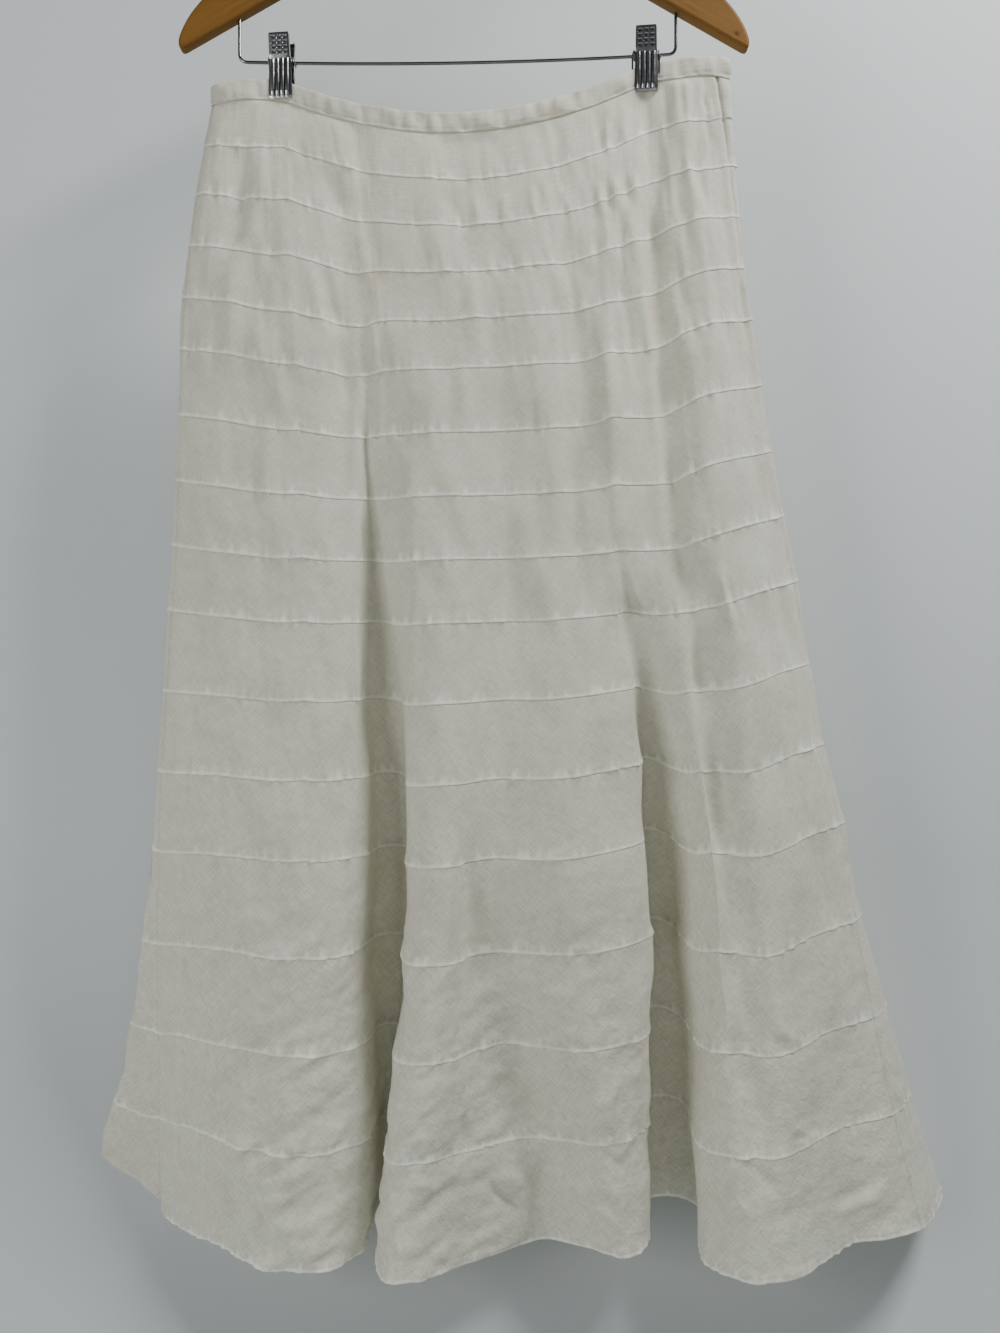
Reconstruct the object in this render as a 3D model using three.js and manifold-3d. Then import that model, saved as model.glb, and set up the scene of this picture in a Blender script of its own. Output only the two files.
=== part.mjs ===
// A tiered midi skirt of white linen, hanging by two clips from a wooden hanger.
// Millimetres. X runs along the hanger to the viewer's right, -Y is the front, +Z is up.
// The origin is where the inside of the hook rests on its rail.
//
// The skirt is a ring of cloth. Its plan shape is a smooth curve through fold lines, the ridges and
// valleys that run from waist to hem, and each seam between two tiers is one such ring. A tier is a
// thin wall between two rings, cut at the side seams into a front and a back strip.

import * as THREE from 'three';
import { mergeVertices } from 'three/addons/utils/BufferGeometryUtils.js';
import Module from 'manifold-3d';

const wasm = await Module();
wasm.setup();

// ---- Driving sizes ----

const CLOTH = 1.2; // wall of a tier: the linen with its pressed seam allowances
const BAND_CLOTH = 2; // waistband, the linen folded double
const BAND_HEIGHT = 16;
const SEAM_GAP = 0.3; // between two pieces that are sewn together
const LIP = 0.5; // each tier's lower edge stands this proud of the tier below
const SPAN_COLUMNS = 2; // facets from one fold line to the next

// The tiers from the waist down: equal runs, growing towards the hem.
const TIER_RUNS = [
  { tiers: 5, height: 37.3 },
  { tiers: 4, height: 48 },
  { tiers: 3, height: 60 },
  { tiers: 3, height: 72 },
  { tiers: 1, height: 84 },
];
const TIER_HEIGHTS = TIER_RUNS.flatMap(({ tiers, height }) => Array(tiers).fill(height));

// The waist seam hangs from the two clips, sags between them and sits higher on the right.
const WAIST = { halfWidth: 200, leftEnd: -266, leftClip: -262, rightClip: -249, rightEnd: -245, sag: 38 };
const CLIP_X = 142; // either clip's distance from the middle of the hanger
const SIDE_STRETCH = { left: 0.055, right: 0.064, fromTier: 2 }; // of the tiers at the side seams
const YOKE_TAPER = 0.16; // how much narrower the first tier is at the side seams
const HEM_FLARE = 2; // how fast the fold lines still spread at the hem

// Fold lines, each at the seams below tiers 0 (the waist), 4, 8, 12 and 16 (the hem).
// x is measured from the middle of the hanger, y from its plane, negative towards the viewer.
// drop is how far the stretched bias cloth hangs below its cut there.
const GIVEN_EVERY = 4;
const FRONT_LINES = [
  { line: 'left side seam', x: [-196, -218, -226, -241, -255], y: [0, 0, 5, 8, 60], drop: [0, 4, 7, 8, 7] },
  {
    line: 'left panel',
    x: [-173, -184, -183, -190, -194],
    y: [-6, -12, -14, -18, -4],
    drop: [0, 9, 16, 12, 9],
  },
  {
    line: 'left panel, crest',
    x: [-143, -132, -123, -121, -128],
    y: [-2, -20, -28, -36, -42],
    drop: [0, 23, 27, 24, 25],
  },
  {
    line: 'main fold, left wall',
    x: [-111, -90, -84, -82, -82],
    y: [-7, -20, -22, -26, -25],
    drop: [0, 19, 18, 14, 15],
  },
  {
    line: 'main fold, bottom left',
    x: [-92, -76, -74, -70, -76],
    y: [-10, -16, 0, 24, 34],
    drop: [0, 13, 10, 10, 12],
  },
  {
    line: 'main fold, bottom right',
    x: [-82, -64, -58, -46, -66],
    y: [-11, -16, -8, 22, 34],
    drop: [0, 8, 9, 9, 10],
  },
  {
    line: 'main fold, right wall',
    x: [-66, -50, -43, -41, -66],
    y: [-13, -21, -24, -32, -44],
    drop: [0, 4, 6, 8, 9],
  },
  {
    line: 'middle panel, left crest',
    x: [-33, -18, -14, -11, -36],
    y: [-14, -26, -34, -48, -62],
    drop: [0, 0, 1, 2, 3],
  },
  {
    line: 'middle panel, hollow',
    x: [5, 24, 36, 24, 52],
    y: [-15, -26, -26, -30, 2],
    drop: [0, -2, 0, -1, 3],
  },
  {
    line: 'middle panel, right crest',
    x: [43, 62, 69, 82, 116],
    y: [-14, -27, -32, -44, -40],
    drop: [0, 1, 4, 2, 3],
  },
  {
    line: 'second fold, left wall',
    x: [74, 96, 108, 134, 143],
    y: [-11, -24, -30, -30, -22],
    drop: [0, 4, 10, 2, 6],
  },
  {
    line: 'second fold, bottom left',
    x: [87, 107, 119, 143, 149],
    y: [-10, -22, -29, 16, 32],
    drop: [0, 5, 12, 7, 9],
  },
  {
    line: 'second fold, bottom right',
    x: [98, 116, 131, 159, 186],
    y: [-8, -21, -25, 14, 34],
    drop: [0, 7, 16, 14, 18],
  },
  {
    line: 'second fold, right wall',
    x: [110, 126, 146, 174, 181],
    y: [-7, -20, -21, -22, -30],
    drop: [0, 10, 20, 23, 27],
  },
  {
    line: 'right panel, left crest',
    x: [126, 138, 160, 186, 203],
    y: [-4, -22, -22, -40, -64],
    drop: [0, 15, 26, 26, 30],
  },
  {
    line: 'third fold',
    x: [142, 151, 175, 198, 221],
    y: [-2, -14, -26, -32, -69],
    drop: [0, 16, 29, 33, 34],
  },
  {
    line: 'right panel, crest',
    x: [158, 168, 194, 226, 243],
    y: [-4, -18, -30, -45, -66],
    drop: [0, 10, 23, 32, 26],
  },
  {
    line: 'right panel',
    x: [180, 194, 220, 262, 290],
    y: [-7, -12, -22, -26, -36],
    drop: [0, 4, 13, 16, 10],
  },
];
const BACK_LINES = [
  { line: 'right side seam', x: [197, 218, 248, 293, 350], y: [-4, 0, 3, 2, -20], drop: [0, 1, 5, 8, 1] },
  { line: 'right corner', x: [206, 213, 245, 298, 386], y: [2, 9, 13, 18, 50], drop: [0, 2, 4, 6, 2] },
  {
    line: 'back right crest',
    x: [175, 190, 222, 262, 330],
    y: [6, 22, 34, 60, 96],
    drop: [0, 10, 18, 18, 16],
  },
  {
    line: 'back right valley',
    x: [141, 157, 184, 214, 262],
    y: [2, 24, 28, 36, 44],
    drop: [0, 18, 24, 24, 24],
  },
  {
    line: 'back middle right crest',
    x: [100, 112, 132, 158, 196],
    y: [11, 32, 46, 72, 104],
    drop: [0, 9, 14, 14, 14],
  },
  {
    line: 'back middle right valley',
    x: [50, 58, 70, 88, 118],
    y: [14, 32, 38, 48, 52],
    drop: [0, 1, 2, 2, 2],
  },
  { line: 'back middle crest', x: [5, 5, 10, 20, 40], y: [16, 34, 46, 70, 100], drop: [0, 0, 0, 0, 0] },
  {
    line: 'back middle left valley',
    x: [-30, -28, -26, -22, -15],
    y: [15, 33, 40, 52, 58],
    drop: [0, 1, 1, 1, 1],
  },
  {
    line: 'back middle left crest',
    x: [-70, -68, -72, -78, -92],
    y: [13, 33, 48, 74, 106],
    drop: [0, 5, 8, 8, 8],
  },
  {
    line: 'back left valley',
    x: [-142, -118, -122, -132, -160],
    y: [2, 28, 34, 44, 54],
    drop: [0, 18, 24, 22, 22],
  },
  {
    line: 'back left crest',
    x: [-170, -176, -180, -190, -225],
    y: [7, 22, 36, 62, 108],
    drop: [0, 13, 18, 18, 18],
  },
  { line: 'left corner', x: [-191, -213, -222, -243, -318], y: [5, 9, 14, 18, 85], drop: [0, 5, 8, 9, 8] },
];
const RING = [...FRONT_LINES, ...BACK_LINES];

// The closed zip lies behind the right side seam, from the waistband's top.
// Its width is given in fold lines to either side of the seam.
const ZIP = { length: 178, frontSpan: 0.3, backSpan: 0.4, cloth: 1, columns: 4, rows: 8 };
ZIP.depth = BAND_CLOTH - LIP + 2.5 * SEAM_GAP; // from the seam in to the zip's outer face
ZIP.belowTop = 1; // its upper end, under the waistband's top edge

// The wood: straight arms from its arched middle down to round tips.
const WOOD = { halfLength: 220, tipZ: -223, thick: 12, bevel: 2, arm: 33, archX: 60, slope: 0.57 };
const NECK = { halfWidth: 14, topZ: -66, underZ: -118 };
const HOOK = { wire: 3.4, innerRadius: 20, sink: 16 };
const BAR = { wire: 2.6, leftX: -175, rightX: 165, leftZ: -232, rightZ: -226, bow: 7, corner: 7, sink: 11 };
const CLIP = { width: 17, plate: 1.2, up: 24, down: 29, jawGap: 4.3, padGap: 9 };
const SLEEVE = { diameter: 8.6, length: 22, sides: 20 };
const SEAT = 0.3; // running clearance of wires in their holes

// ---- Materials ----

const LINEN = { color: 0xeeece2, roughness: 0.9, metalness: 0 };
const BEECH = { color: 0xc58a48, roughness: 0.42, metalness: 0 };
const CHROME = { color: 0xc9cbcd, roughness: 0.22, metalness: 1 };

// ---- Curves ----

const lerp = THREE.MathUtils.lerp;

// Catmull-Rom value between b and c.
function smooth(a, b, c, d, t) {
  const linear = (c - a) * t;
  const square = (2 * a - 5 * b + 4 * c - d) * t * t;
  const cube = (3 * b - a - 3 * c + d) * t * t * t;
  return b + 0.5 * (linear + square + cube);
}

// A fold line's x, y or drop at a seam, which may be a fraction.
function down(values, seam) {
  const last = values.length - 1;
  const at = Math.min(seam / GIVEN_EVERY, last);
  const i = Math.min(Math.floor(at), last - 1);
  const before = i > 0 ? values[i - 1] : 2 * values[0] - values[1];
  const flare = HEM_FLARE * (values[last] - values[last - 1]);
  const after = i + 2 <= last ? values[i + 2] : values[last] + flare;
  return smooth(before, values[i], values[i + 1], after, at - i);
}

// The ring's x, y or drop at a seam; around counts fold lines from the left side seam.
function onRing(key, around, seam) {
  const i = Math.floor(around);
  const near = [-1, 0, 1, 2].map((step) => RING[(i + step + RING.length) % RING.length]);
  return smooth(...near.map((fold) => down(fold[key], seam)), around - i);
}

function plan(around, seam) {
  return new THREE.Vector2(onRing('x', around, seam), onRing('y', around, seam));
}

// The outward direction of the cloth in plan.
function outward(around, seam) {
  const step = 0.02;
  const run = plan(around + step, seam).sub(plan(around - step, seam)).normalize();
  return new THREE.Vector2(run.y, -run.x);
}

function waistHeight(x) {
  if (Math.abs(x) < CLIP_X) {
    const chord = lerp(WAIST.leftClip, WAIST.rightClip, (x + CLIP_X) / (2 * CLIP_X));
    return chord - WAIST.sag * (1 - (x / CLIP_X) ** 2);
  }
  const past = (Math.abs(x) - CLIP_X) / (WAIST.halfWidth - CLIP_X);
  return x < 0 ? lerp(WAIST.leftClip, WAIST.leftEnd, past) : lerp(WAIST.rightClip, WAIST.rightEnd, past);
}

// How much longer than its cut a tier is at the side seams.
function stretch(around, tier) {
  const waist = plan(around, 0);
  const toSide = Math.min(Math.abs(waist.x) / WAIST.halfWidth, 1);
  const taper = tier === 0 ? YOKE_TAPER * toSide ** 8 : 0;
  const sideways = waist.x < 0 ? SIDE_STRETCH.left : SIDE_STRETCH.right;
  const slanted = tier >= SIDE_STRETCH.fromTier ? sideways * toSide ** 4 : 0;
  return 1 + slanted - taper;
}

// Height of the ring: each tier keeps its cut length along the slope, so slanting cloth rides up.
const heights = new Map();
function height(around, seam) {
  const key = `${around} ${seam}`;
  if (!heights.has(key)) {
    const start = plan(around, 0);
    let z = waistHeight(start.x);
    for (let tier = 0; tier < seam; tier++) {
      const share = Math.min(seam - tier, 1);
      const length = TIER_HEIGHTS[tier] * stretch(around, tier);
      const sideways = plan(around, tier + 1).distanceTo(plan(around, tier));
      z -= share * Math.sqrt(length * length - sideways * sideways);
    }
    const started = Math.sqrt(Math.min(seam / GIVEN_EVERY, 1));
    heights.set(key, z - onRing('drop', around, seam) * started);
  }
  return heights.get(key);
}

// A point of the cloth, moved outward by out and up by lift.
function clothPoint(around, seam, out, lift) {
  const { x, y } = plan(around, seam);
  const normal = outward(around, seam);
  return new THREE.Vector3(x + normal.x * out, y + normal.y * out, height(around, seam) + lift);
}

// ---- Cloth walls ----

// Splits a box's far side along the same diagonals as its near side, so that where the cloth is
// twisted the two faces of the wall stay parallel.
function matchDiagonals(box) {
  const { start, count } = box.groups[box.groups.length - 1];
  const corners = box.index;
  for (let i = start; i < start + count; i += 6) {
    const [a, b, c, d] = [0, 1, 4, 2].map((step) => corners.getX(i + step));
    [a, b, c, a, c, d].forEach((corner, step) => corners.setX(i + step, corner));
  }
}

// A thin box bent onto the cloth: place(across, up, outer) gives the point for box shares 0 to 1.
function bentBox(columns, rows, place) {
  const box = new THREE.BoxGeometry(1, 1, 1, columns, rows, 1);
  matchDiagonals(box);
  const corners = box.attributes.position;
  for (let i = 0; i < corners.count; i++) {
    const point = place(corners.getX(i) + 0.5, corners.getY(i) + 0.5, corners.getZ(i) + 0.5);
    corners.setXYZ(i, point.x, point.y, point.z);
  }
  box.deleteAttribute('normal');
  box.deleteAttribute('uv');
  const wall = mergeVertices(box, 1e-4);
  wall.computeVertexNormals();
  return wall;
}

const SIDES = [
  { side: 'front', from: 0, to: FRONT_LINES.length },
  { side: 'back', from: FRONT_LINES.length, to: RING.length },
];

// The place along a side's ring, kept half a seam gap clear of the side seams.
function alongSide({ from, to }, share, seam) {
  const inset = (end, step) => SEAM_GAP / 2 / plan(end, seam).distanceTo(plan(end + step, seam));
  if (share === 0) return from + inset(from, 0.1) * 0.1;
  if (share === 1) return to - inset(to, -0.1) * 0.1;
  return lerp(from, to, share);
}

function tierWall(side, tier) {
  const columns = (side.to - side.from) * SPAN_COLUMNS;
  return bentBox(columns, 1, (across, up, outer) => {
    const seam = up > 0.5 ? tier : tier + 1;
    const around = alongSide(side, across, seam);
    const proud = up > 0.5 ? 0 : LIP;
    const lift = up > 0.5 ? -SEAM_GAP / 2 : SEAM_GAP / 2;
    return clothPoint(around, seam, proud - (1 - outer) * CLOTH, lift);
  });
}

function waistbandWall(side) {
  const columns = (side.to - side.from) * SPAN_COLUMNS;
  return bentBox(columns, 1, (across, up, outer) => {
    const around = alongSide(side, across, 0);
    return clothPoint(around, 0, LIP - (1 - outer) * BAND_CLOTH, SEAM_GAP / 2 + up * BAND_HEIGHT);
  });
}

function zipStrip() {
  const seamPlace = FRONT_LINES.length;
  const belowWaist = ZIP.length - BAND_HEIGHT;
  const lowest = belowWaist / TIER_HEIGHTS[0];
  return bentBox(ZIP.columns, ZIP.rows, (across, up, outer) => {
    const around = lerp(seamPlace - ZIP.frontSpan, seamPlace + ZIP.backSpan, across);
    const row = Math.round((1 - up) * ZIP.rows);
    const seam = row === 0 ? 0 : ((row - 1) / (ZIP.rows - 1)) * lowest;
    const lift = row === 0 ? BAND_HEIGHT - ZIP.belowTop : 0;
    return clothPoint(around, seam, -ZIP.depth - (1 - outer) * ZIP.cloth, lift);
  });
}

// ---- Solid cutting ----

function toSolid(geometry) {
  const bare = geometry.index ? geometry.clone() : geometry;
  bare.deleteAttribute('normal');
  bare.deleteAttribute('uv');
  const welded = mergeVertices(bare, 1e-4);
  const vertProperties = Float32Array.from(welded.attributes.position.array);
  const triVerts = Uint32Array.from(welded.index.array);
  return new wasm.Manifold(new wasm.Mesh({ numProp: 3, vertProperties, triVerts }));
}

function toGeometry(solid) {
  const { vertProperties, triVerts } = solid.getMesh();
  const geometry = new THREE.BufferGeometry();
  geometry.setAttribute('position', new THREE.BufferAttribute(vertProperties, 3));
  geometry.setIndex(new THREE.BufferAttribute(triVerts, 1));
  geometry.computeVertexNormals();
  return geometry;
}

// ---- Hanger ----

function circle(radius, sides) {
  const shape = new THREE.Shape();
  for (let i = 0; i < sides; i++) {
    const angle = (2 * Math.PI * i) / sides;
    const point = [radius * Math.cos(angle), radius * Math.sin(angle)];
    if (i === 0) shape.moveTo(...point);
    else shape.lineTo(...point);
  }
  return shape;
}

function wireAlong(path, diameter, steps, sides = 8) {
  return new THREE.ExtrudeGeometry(circle(diameter / 2, sides), { steps, extrudePath: path });
}

// Height of the wood's lower edge, straight from tip to arch.
const underside = (x) => WOOD.tipZ + (WOOD.halfLength - 3 - Math.abs(x)) * WOOD.slope;

// A post down the Z axis, for a wire's hole.
function post(x, topZ, bottomZ, radius) {
  const hole = new THREE.CylinderGeometry(radius, radius, topZ - bottomZ, 16);
  hole.rotateX(Math.PI / 2);
  hole.translate(x, 0, (topZ + bottomZ) / 2);
  return toSolid(hole);
}

function woodBody() {
  const end = WOOD.halfLength;
  const tip = WOOD.tipZ;
  const archZ = underside(WOOD.archX);
  const half = [
    (shape, s) => shape.quadraticCurveTo(s * 34, NECK.underZ, s * WOOD.archX, archZ),
    (shape, s) => shape.lineTo(s * (end - 4), tip + 0.5),
    (shape, s) => shape.quadraticCurveTo(s * (end + 2.5), tip - 3, s * (end + 1.5), tip + 7),
    (shape, s) => shape.quadraticCurveTo(s * (end - 3), tip + 24, s * (end - 20), tip + 41),
    (shape, s) => shape.quadraticCurveTo(s * 150, -145, s * WOOD.archX, archZ + WOOD.arm),
    (shape, s) => shape.quadraticCurveTo(s * 26, NECK.topZ - 14, s * NECK.halfWidth, NECK.topZ),
  ];
  const right = new THREE.Shape();
  right.moveTo(0, NECK.underZ);
  half.forEach((draw) => draw(right, 1));
  const points = right.getPoints(8);
  const mirrored = points.slice(1).reverse().map(({ x, y }) => new THREE.Vector2(-x, y));
  const outline = new THREE.Shape([...points, ...mirrored]);
  const body = new THREE.ExtrudeGeometry(outline, {
    depth: WOOD.thick - 2 * WOOD.bevel,
    bevelThickness: WOOD.bevel,
    bevelSize: WOOD.bevel,
    bevelOffset: -WOOD.bevel,
    bevelSegments: 2,
  });
  body.rotateX(Math.PI / 2);
  body.translate(0, WOOD.thick / 2 - WOOD.bevel, 0);
  const barHole = BAR.wire / 2 + SEAT;
  const hookHole = HOOK.wire / 2 + SEAT;
  const holes = [
    post(BAR.leftX, underside(BAR.leftX) + BAR.sink + SEAT, underside(BAR.leftX) - 20, barHole),
    post(BAR.rightX, underside(BAR.rightX) + BAR.sink + SEAT, underside(BAR.rightX) - 20, barHole),
    post(0, NECK.topZ + 10, NECK.topZ - HOOK.sink - SEAT, hookHole),
  ];
  return toGeometry(holes.reduce((solid, hole) => solid.subtract(hole), toSolid(body)));
}

// The hook stands in the neck, bends aside and sweeps over the rail.
function hookWire() {
  const radius = HOOK.innerRadius + HOOK.wire / 2;
  const centreZ = -HOOK.innerRadius;
  const points = [
    new THREE.Vector3(0, 0, NECK.topZ - HOOK.sink),
    new THREE.Vector3(0, 0, NECK.topZ),
    new THREE.Vector3(2, 0, centreZ - radius - 9),
  ];
  for (let degrees = -48; degrees <= 196; degrees += 12) {
    const angle = THREE.MathUtils.degToRad(degrees);
    points.push(new THREE.Vector3(radius * Math.cos(angle), 0, centreZ + radius * Math.sin(angle)));
  }
  return wireAlong(new THREE.CatmullRomCurve3(points), HOOK.wire, 48, 10);
}

// The trouser bar: down from the left arm, along with a slight bow, and up into the right arm.
function barWire() {
  const { leftX, rightX, leftZ, rightZ, corner, bow, sink } = BAR;
  const at = (x, z) => new THREE.Vector3(x, 0, z);
  const bar = new THREE.CurvePath();
  const [leftBend, leftTurn] = [at(leftX, leftZ + corner), at(leftX + corner, leftZ)];
  const [rightTurn, rightBend] = [at(rightX - corner, rightZ), at(rightX, rightZ + corner)];
  const middle = at((leftX + rightX) / 2, (leftZ + rightZ) / 2 - bow);
  bar.add(new THREE.LineCurve3(at(leftX, underside(leftX) + sink), leftBend));
  bar.add(new THREE.QuadraticBezierCurve3(leftBend, at(leftX, leftZ), leftTurn));
  bar.add(new THREE.QuadraticBezierCurve3(leftTurn, middle, rightTurn));
  bar.add(new THREE.QuadraticBezierCurve3(rightTurn, at(rightX, rightZ), rightBend));
  bar.add(new THREE.LineCurve3(rightBend, at(rightX, underside(rightX) + sink)));
  return wireAlong(bar, BAR.wire, 96);
}

// Height of the bar's centre at a clip.
function barHeight(x) {
  const share = (x - BAR.leftX - BAR.corner) / (BAR.rightX - BAR.leftX - 2 * BAR.corner);
  return lerp(BAR.leftZ, BAR.rightZ, share) - BAR.bow * 2 * share * (1 - share);
}

// One jaw in profile, bent around the sleeve: y away from the cloth, z up from the bar.
function jawPlate() {
  const seat = SLEEVE.diameter / 2 + SEAT;
  const bends = [
    { y: CLIP.padGap, z: CLIP.up },
    { y: seat + 2, z: 9 },
    { y: seat, z: 3 },
    { y: seat, z: -5 },
    { y: CLIP.jawGap, z: -13 },
    { y: CLIP.jawGap, z: -CLIP.down },
  ];
  const inner = bends.map(({ y, z }) => new THREE.Vector2(y, z));
  const outer = bends.map(({ y, z }) => new THREE.Vector2(y + CLIP.plate, z)).reverse();
  const plate = new THREE.ExtrudeGeometry(new THREE.Shape([...inner, ...outer]), {
    depth: CLIP.width,
    bevelEnabled: false,
  });
  plate.translate(0, 0, -CLIP.width / 2);
  plate.rotateX(Math.PI / 2);
  plate.rotateZ(Math.PI / 2);
  return plate;
}

function sleeve() {
  const bore = BAR.wire / 2 + 3 * SEAT;
  const half = SLEEVE.length / 2;
  const outer = SLEEVE.diameter / 2;
  const section = [
    new THREE.Vector2(bore, -half),
    new THREE.Vector2(outer, -half),
    new THREE.Vector2(outer, half),
    new THREE.Vector2(bore, half),
    new THREE.Vector2(bore, -half),
  ];
  const ring = new THREE.LatheGeometry(section, SLEEVE.sides);
  ring.rotateZ(Math.PI / 2);
  return ring;
}

// ---- Assembly ----

const skirt = new THREE.Group();

function add(parent, name, geometry, look) {
  const mesh = new THREE.Mesh(geometry, new THREE.MeshStandardMaterial(look));
  mesh.name = name;
  parent.add(mesh);
  return mesh;
}

for (const side of SIDES) {
  add(skirt, `waistband_${side.side}`, waistbandWall(side), LINEN);
  for (let tier = 0; tier < TIER_HEIGHTS.length; tier++) {
    const number = String(tier + 1).padStart(2, '0');
    add(skirt, `tier_${number}_${side.side}`, tierWall(side, tier), LINEN);
  }
}
add(skirt, 'side_zip', zipStrip(), LINEN);

const hanger = new THREE.Group();
add(hanger, 'hanger_wood', woodBody(), BEECH);
add(hanger, 'hanger_hook', hookWire(), CHROME);
add(hanger, 'hanger_bar', barWire(), CHROME);

for (const [name, x] of [['left', -CLIP_X], ['right', CLIP_X]]) {
  const clip = new THREE.Group();
  clip.position.set(x, 0, barHeight(x));
  add(clip, `clip_${name}_front_jaw`, jawPlate().rotateZ(Math.PI), CHROME);
  add(clip, `clip_${name}_back_jaw`, jawPlate(), CHROME);
  add(clip, `clip_${name}_sleeve`, sleeve(), CHROME);
  hanger.add(clip);
}

const part = new THREE.Group();
part.add(skirt, hanger);

export default part;
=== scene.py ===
"""A tiered midi skirt of white linen on a wooden clip hanger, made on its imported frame.

Metres, +Z up, -Y the front, the origin where the hook rests. The skirt's sheets follow the same ring of
fold lines as the frame's cloth, with the seams, puckers and creases that the solid leaves out.
"""

import math

import bpy
import numpy as np
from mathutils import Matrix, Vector


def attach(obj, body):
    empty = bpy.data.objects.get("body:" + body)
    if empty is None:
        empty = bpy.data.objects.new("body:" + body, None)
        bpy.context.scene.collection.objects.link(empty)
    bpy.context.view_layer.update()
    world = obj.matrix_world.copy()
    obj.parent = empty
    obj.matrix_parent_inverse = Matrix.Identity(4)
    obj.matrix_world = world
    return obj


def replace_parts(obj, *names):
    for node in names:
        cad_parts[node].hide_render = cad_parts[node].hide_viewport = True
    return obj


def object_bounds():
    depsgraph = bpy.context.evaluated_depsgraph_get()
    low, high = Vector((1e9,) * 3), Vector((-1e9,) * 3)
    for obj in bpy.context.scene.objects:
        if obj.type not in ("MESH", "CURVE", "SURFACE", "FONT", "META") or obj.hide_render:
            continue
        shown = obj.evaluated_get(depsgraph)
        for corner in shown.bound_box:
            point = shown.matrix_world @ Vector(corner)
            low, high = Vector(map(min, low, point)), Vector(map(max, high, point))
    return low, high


bl_info = {
    "name": "Tiered linen skirt on a clip hanger",
    "version": (1, 0, 0),
    "blender": (4, 5, 0),
    "location": "View3D > Sidebar > Skirt",
    "description": "Makes the skirt's sheets, its hanger and a plain studio on the packed frame",
    "category": "Object",
}

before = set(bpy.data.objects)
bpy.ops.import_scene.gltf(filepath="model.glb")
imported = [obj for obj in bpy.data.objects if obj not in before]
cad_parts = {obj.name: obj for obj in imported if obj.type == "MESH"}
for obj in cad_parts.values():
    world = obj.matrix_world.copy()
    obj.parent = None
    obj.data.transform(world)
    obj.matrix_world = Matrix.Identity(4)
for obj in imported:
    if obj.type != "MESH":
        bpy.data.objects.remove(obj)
CAD_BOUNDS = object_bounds()
BODY = "root"
MM = 0.001

# ---- The ring of fold lines, in millimetres ----
# Each line's x, y and how far it hangs below its cut, at the waist and the seams below tiers 4, 8, 12
# and 16 (the hem).

FRONT_LINES = (
    ("left side seam", (-196, -218, -226, -241, -255), (0, 0, 5, 8, 60), (0, 4, 7, 8, 7)),
    ("left panel", (-173, -184, -183, -190, -194), (-6, -12, -14, -18, -4), (0, 9, 16, 12, 9)),
    ("left panel, crest", (-143, -132, -123, -121, -128), (-2, -20, -28, -36, -42), (0, 23, 27, 24, 25)),
    ("main fold, left wall", (-111, -90, -84, -82, -82), (-7, -20, -22, -26, -25), (0, 19, 18, 14, 15)),
    ("main fold, bottom left", (-92, -76, -74, -70, -76), (-10, -16, 0, 24, 34), (0, 13, 10, 10, 12)),
    ("main fold, bottom right", (-82, -64, -58, -46, -66), (-11, -16, -8, 22, 34), (0, 8, 9, 9, 10)),
    ("main fold, right wall", (-66, -50, -43, -41, -66), (-13, -21, -24, -32, -44), (0, 4, 6, 8, 9)),
    ("middle panel, left crest", (-33, -18, -14, -11, -36), (-14, -26, -34, -48, -62), (0, 0, 1, 2, 3)),
    ("middle panel, hollow", (5, 24, 36, 24, 52), (-15, -26, -26, -30, 2), (0, -2, 0, -1, 3)),
    ("middle panel, right crest", (43, 62, 69, 82, 116), (-14, -27, -32, -44, -40), (0, 1, 4, 2, 3)),
    ("second fold, left wall", (74, 96, 108, 134, 143), (-11, -24, -30, -30, -22), (0, 4, 10, 2, 6)),
    ("second fold, bottom left", (87, 107, 119, 143, 149), (-10, -22, -29, 16, 32), (0, 5, 12, 7, 9)),
    ("second fold, bottom right", (98, 116, 131, 159, 186), (-8, -21, -25, 14, 34), (0, 7, 16, 14, 18)),
    ("second fold, right wall", (110, 126, 146, 174, 181), (-7, -20, -21, -22, -30), (0, 10, 20, 23, 27)),
    ("right panel, left crest", (126, 138, 160, 186, 203), (-4, -22, -22, -40, -64), (0, 15, 26, 26, 30)),
    ("third fold", (142, 151, 175, 198, 221), (-2, -14, -26, -32, -69), (0, 16, 29, 33, 34)),
    ("right panel, crest", (158, 168, 194, 226, 243), (-4, -18, -30, -45, -66), (0, 10, 23, 32, 26)),
    ("right panel", (180, 194, 220, 262, 290), (-7, -12, -22, -26, -36), (0, 4, 13, 16, 10)),
)
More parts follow.
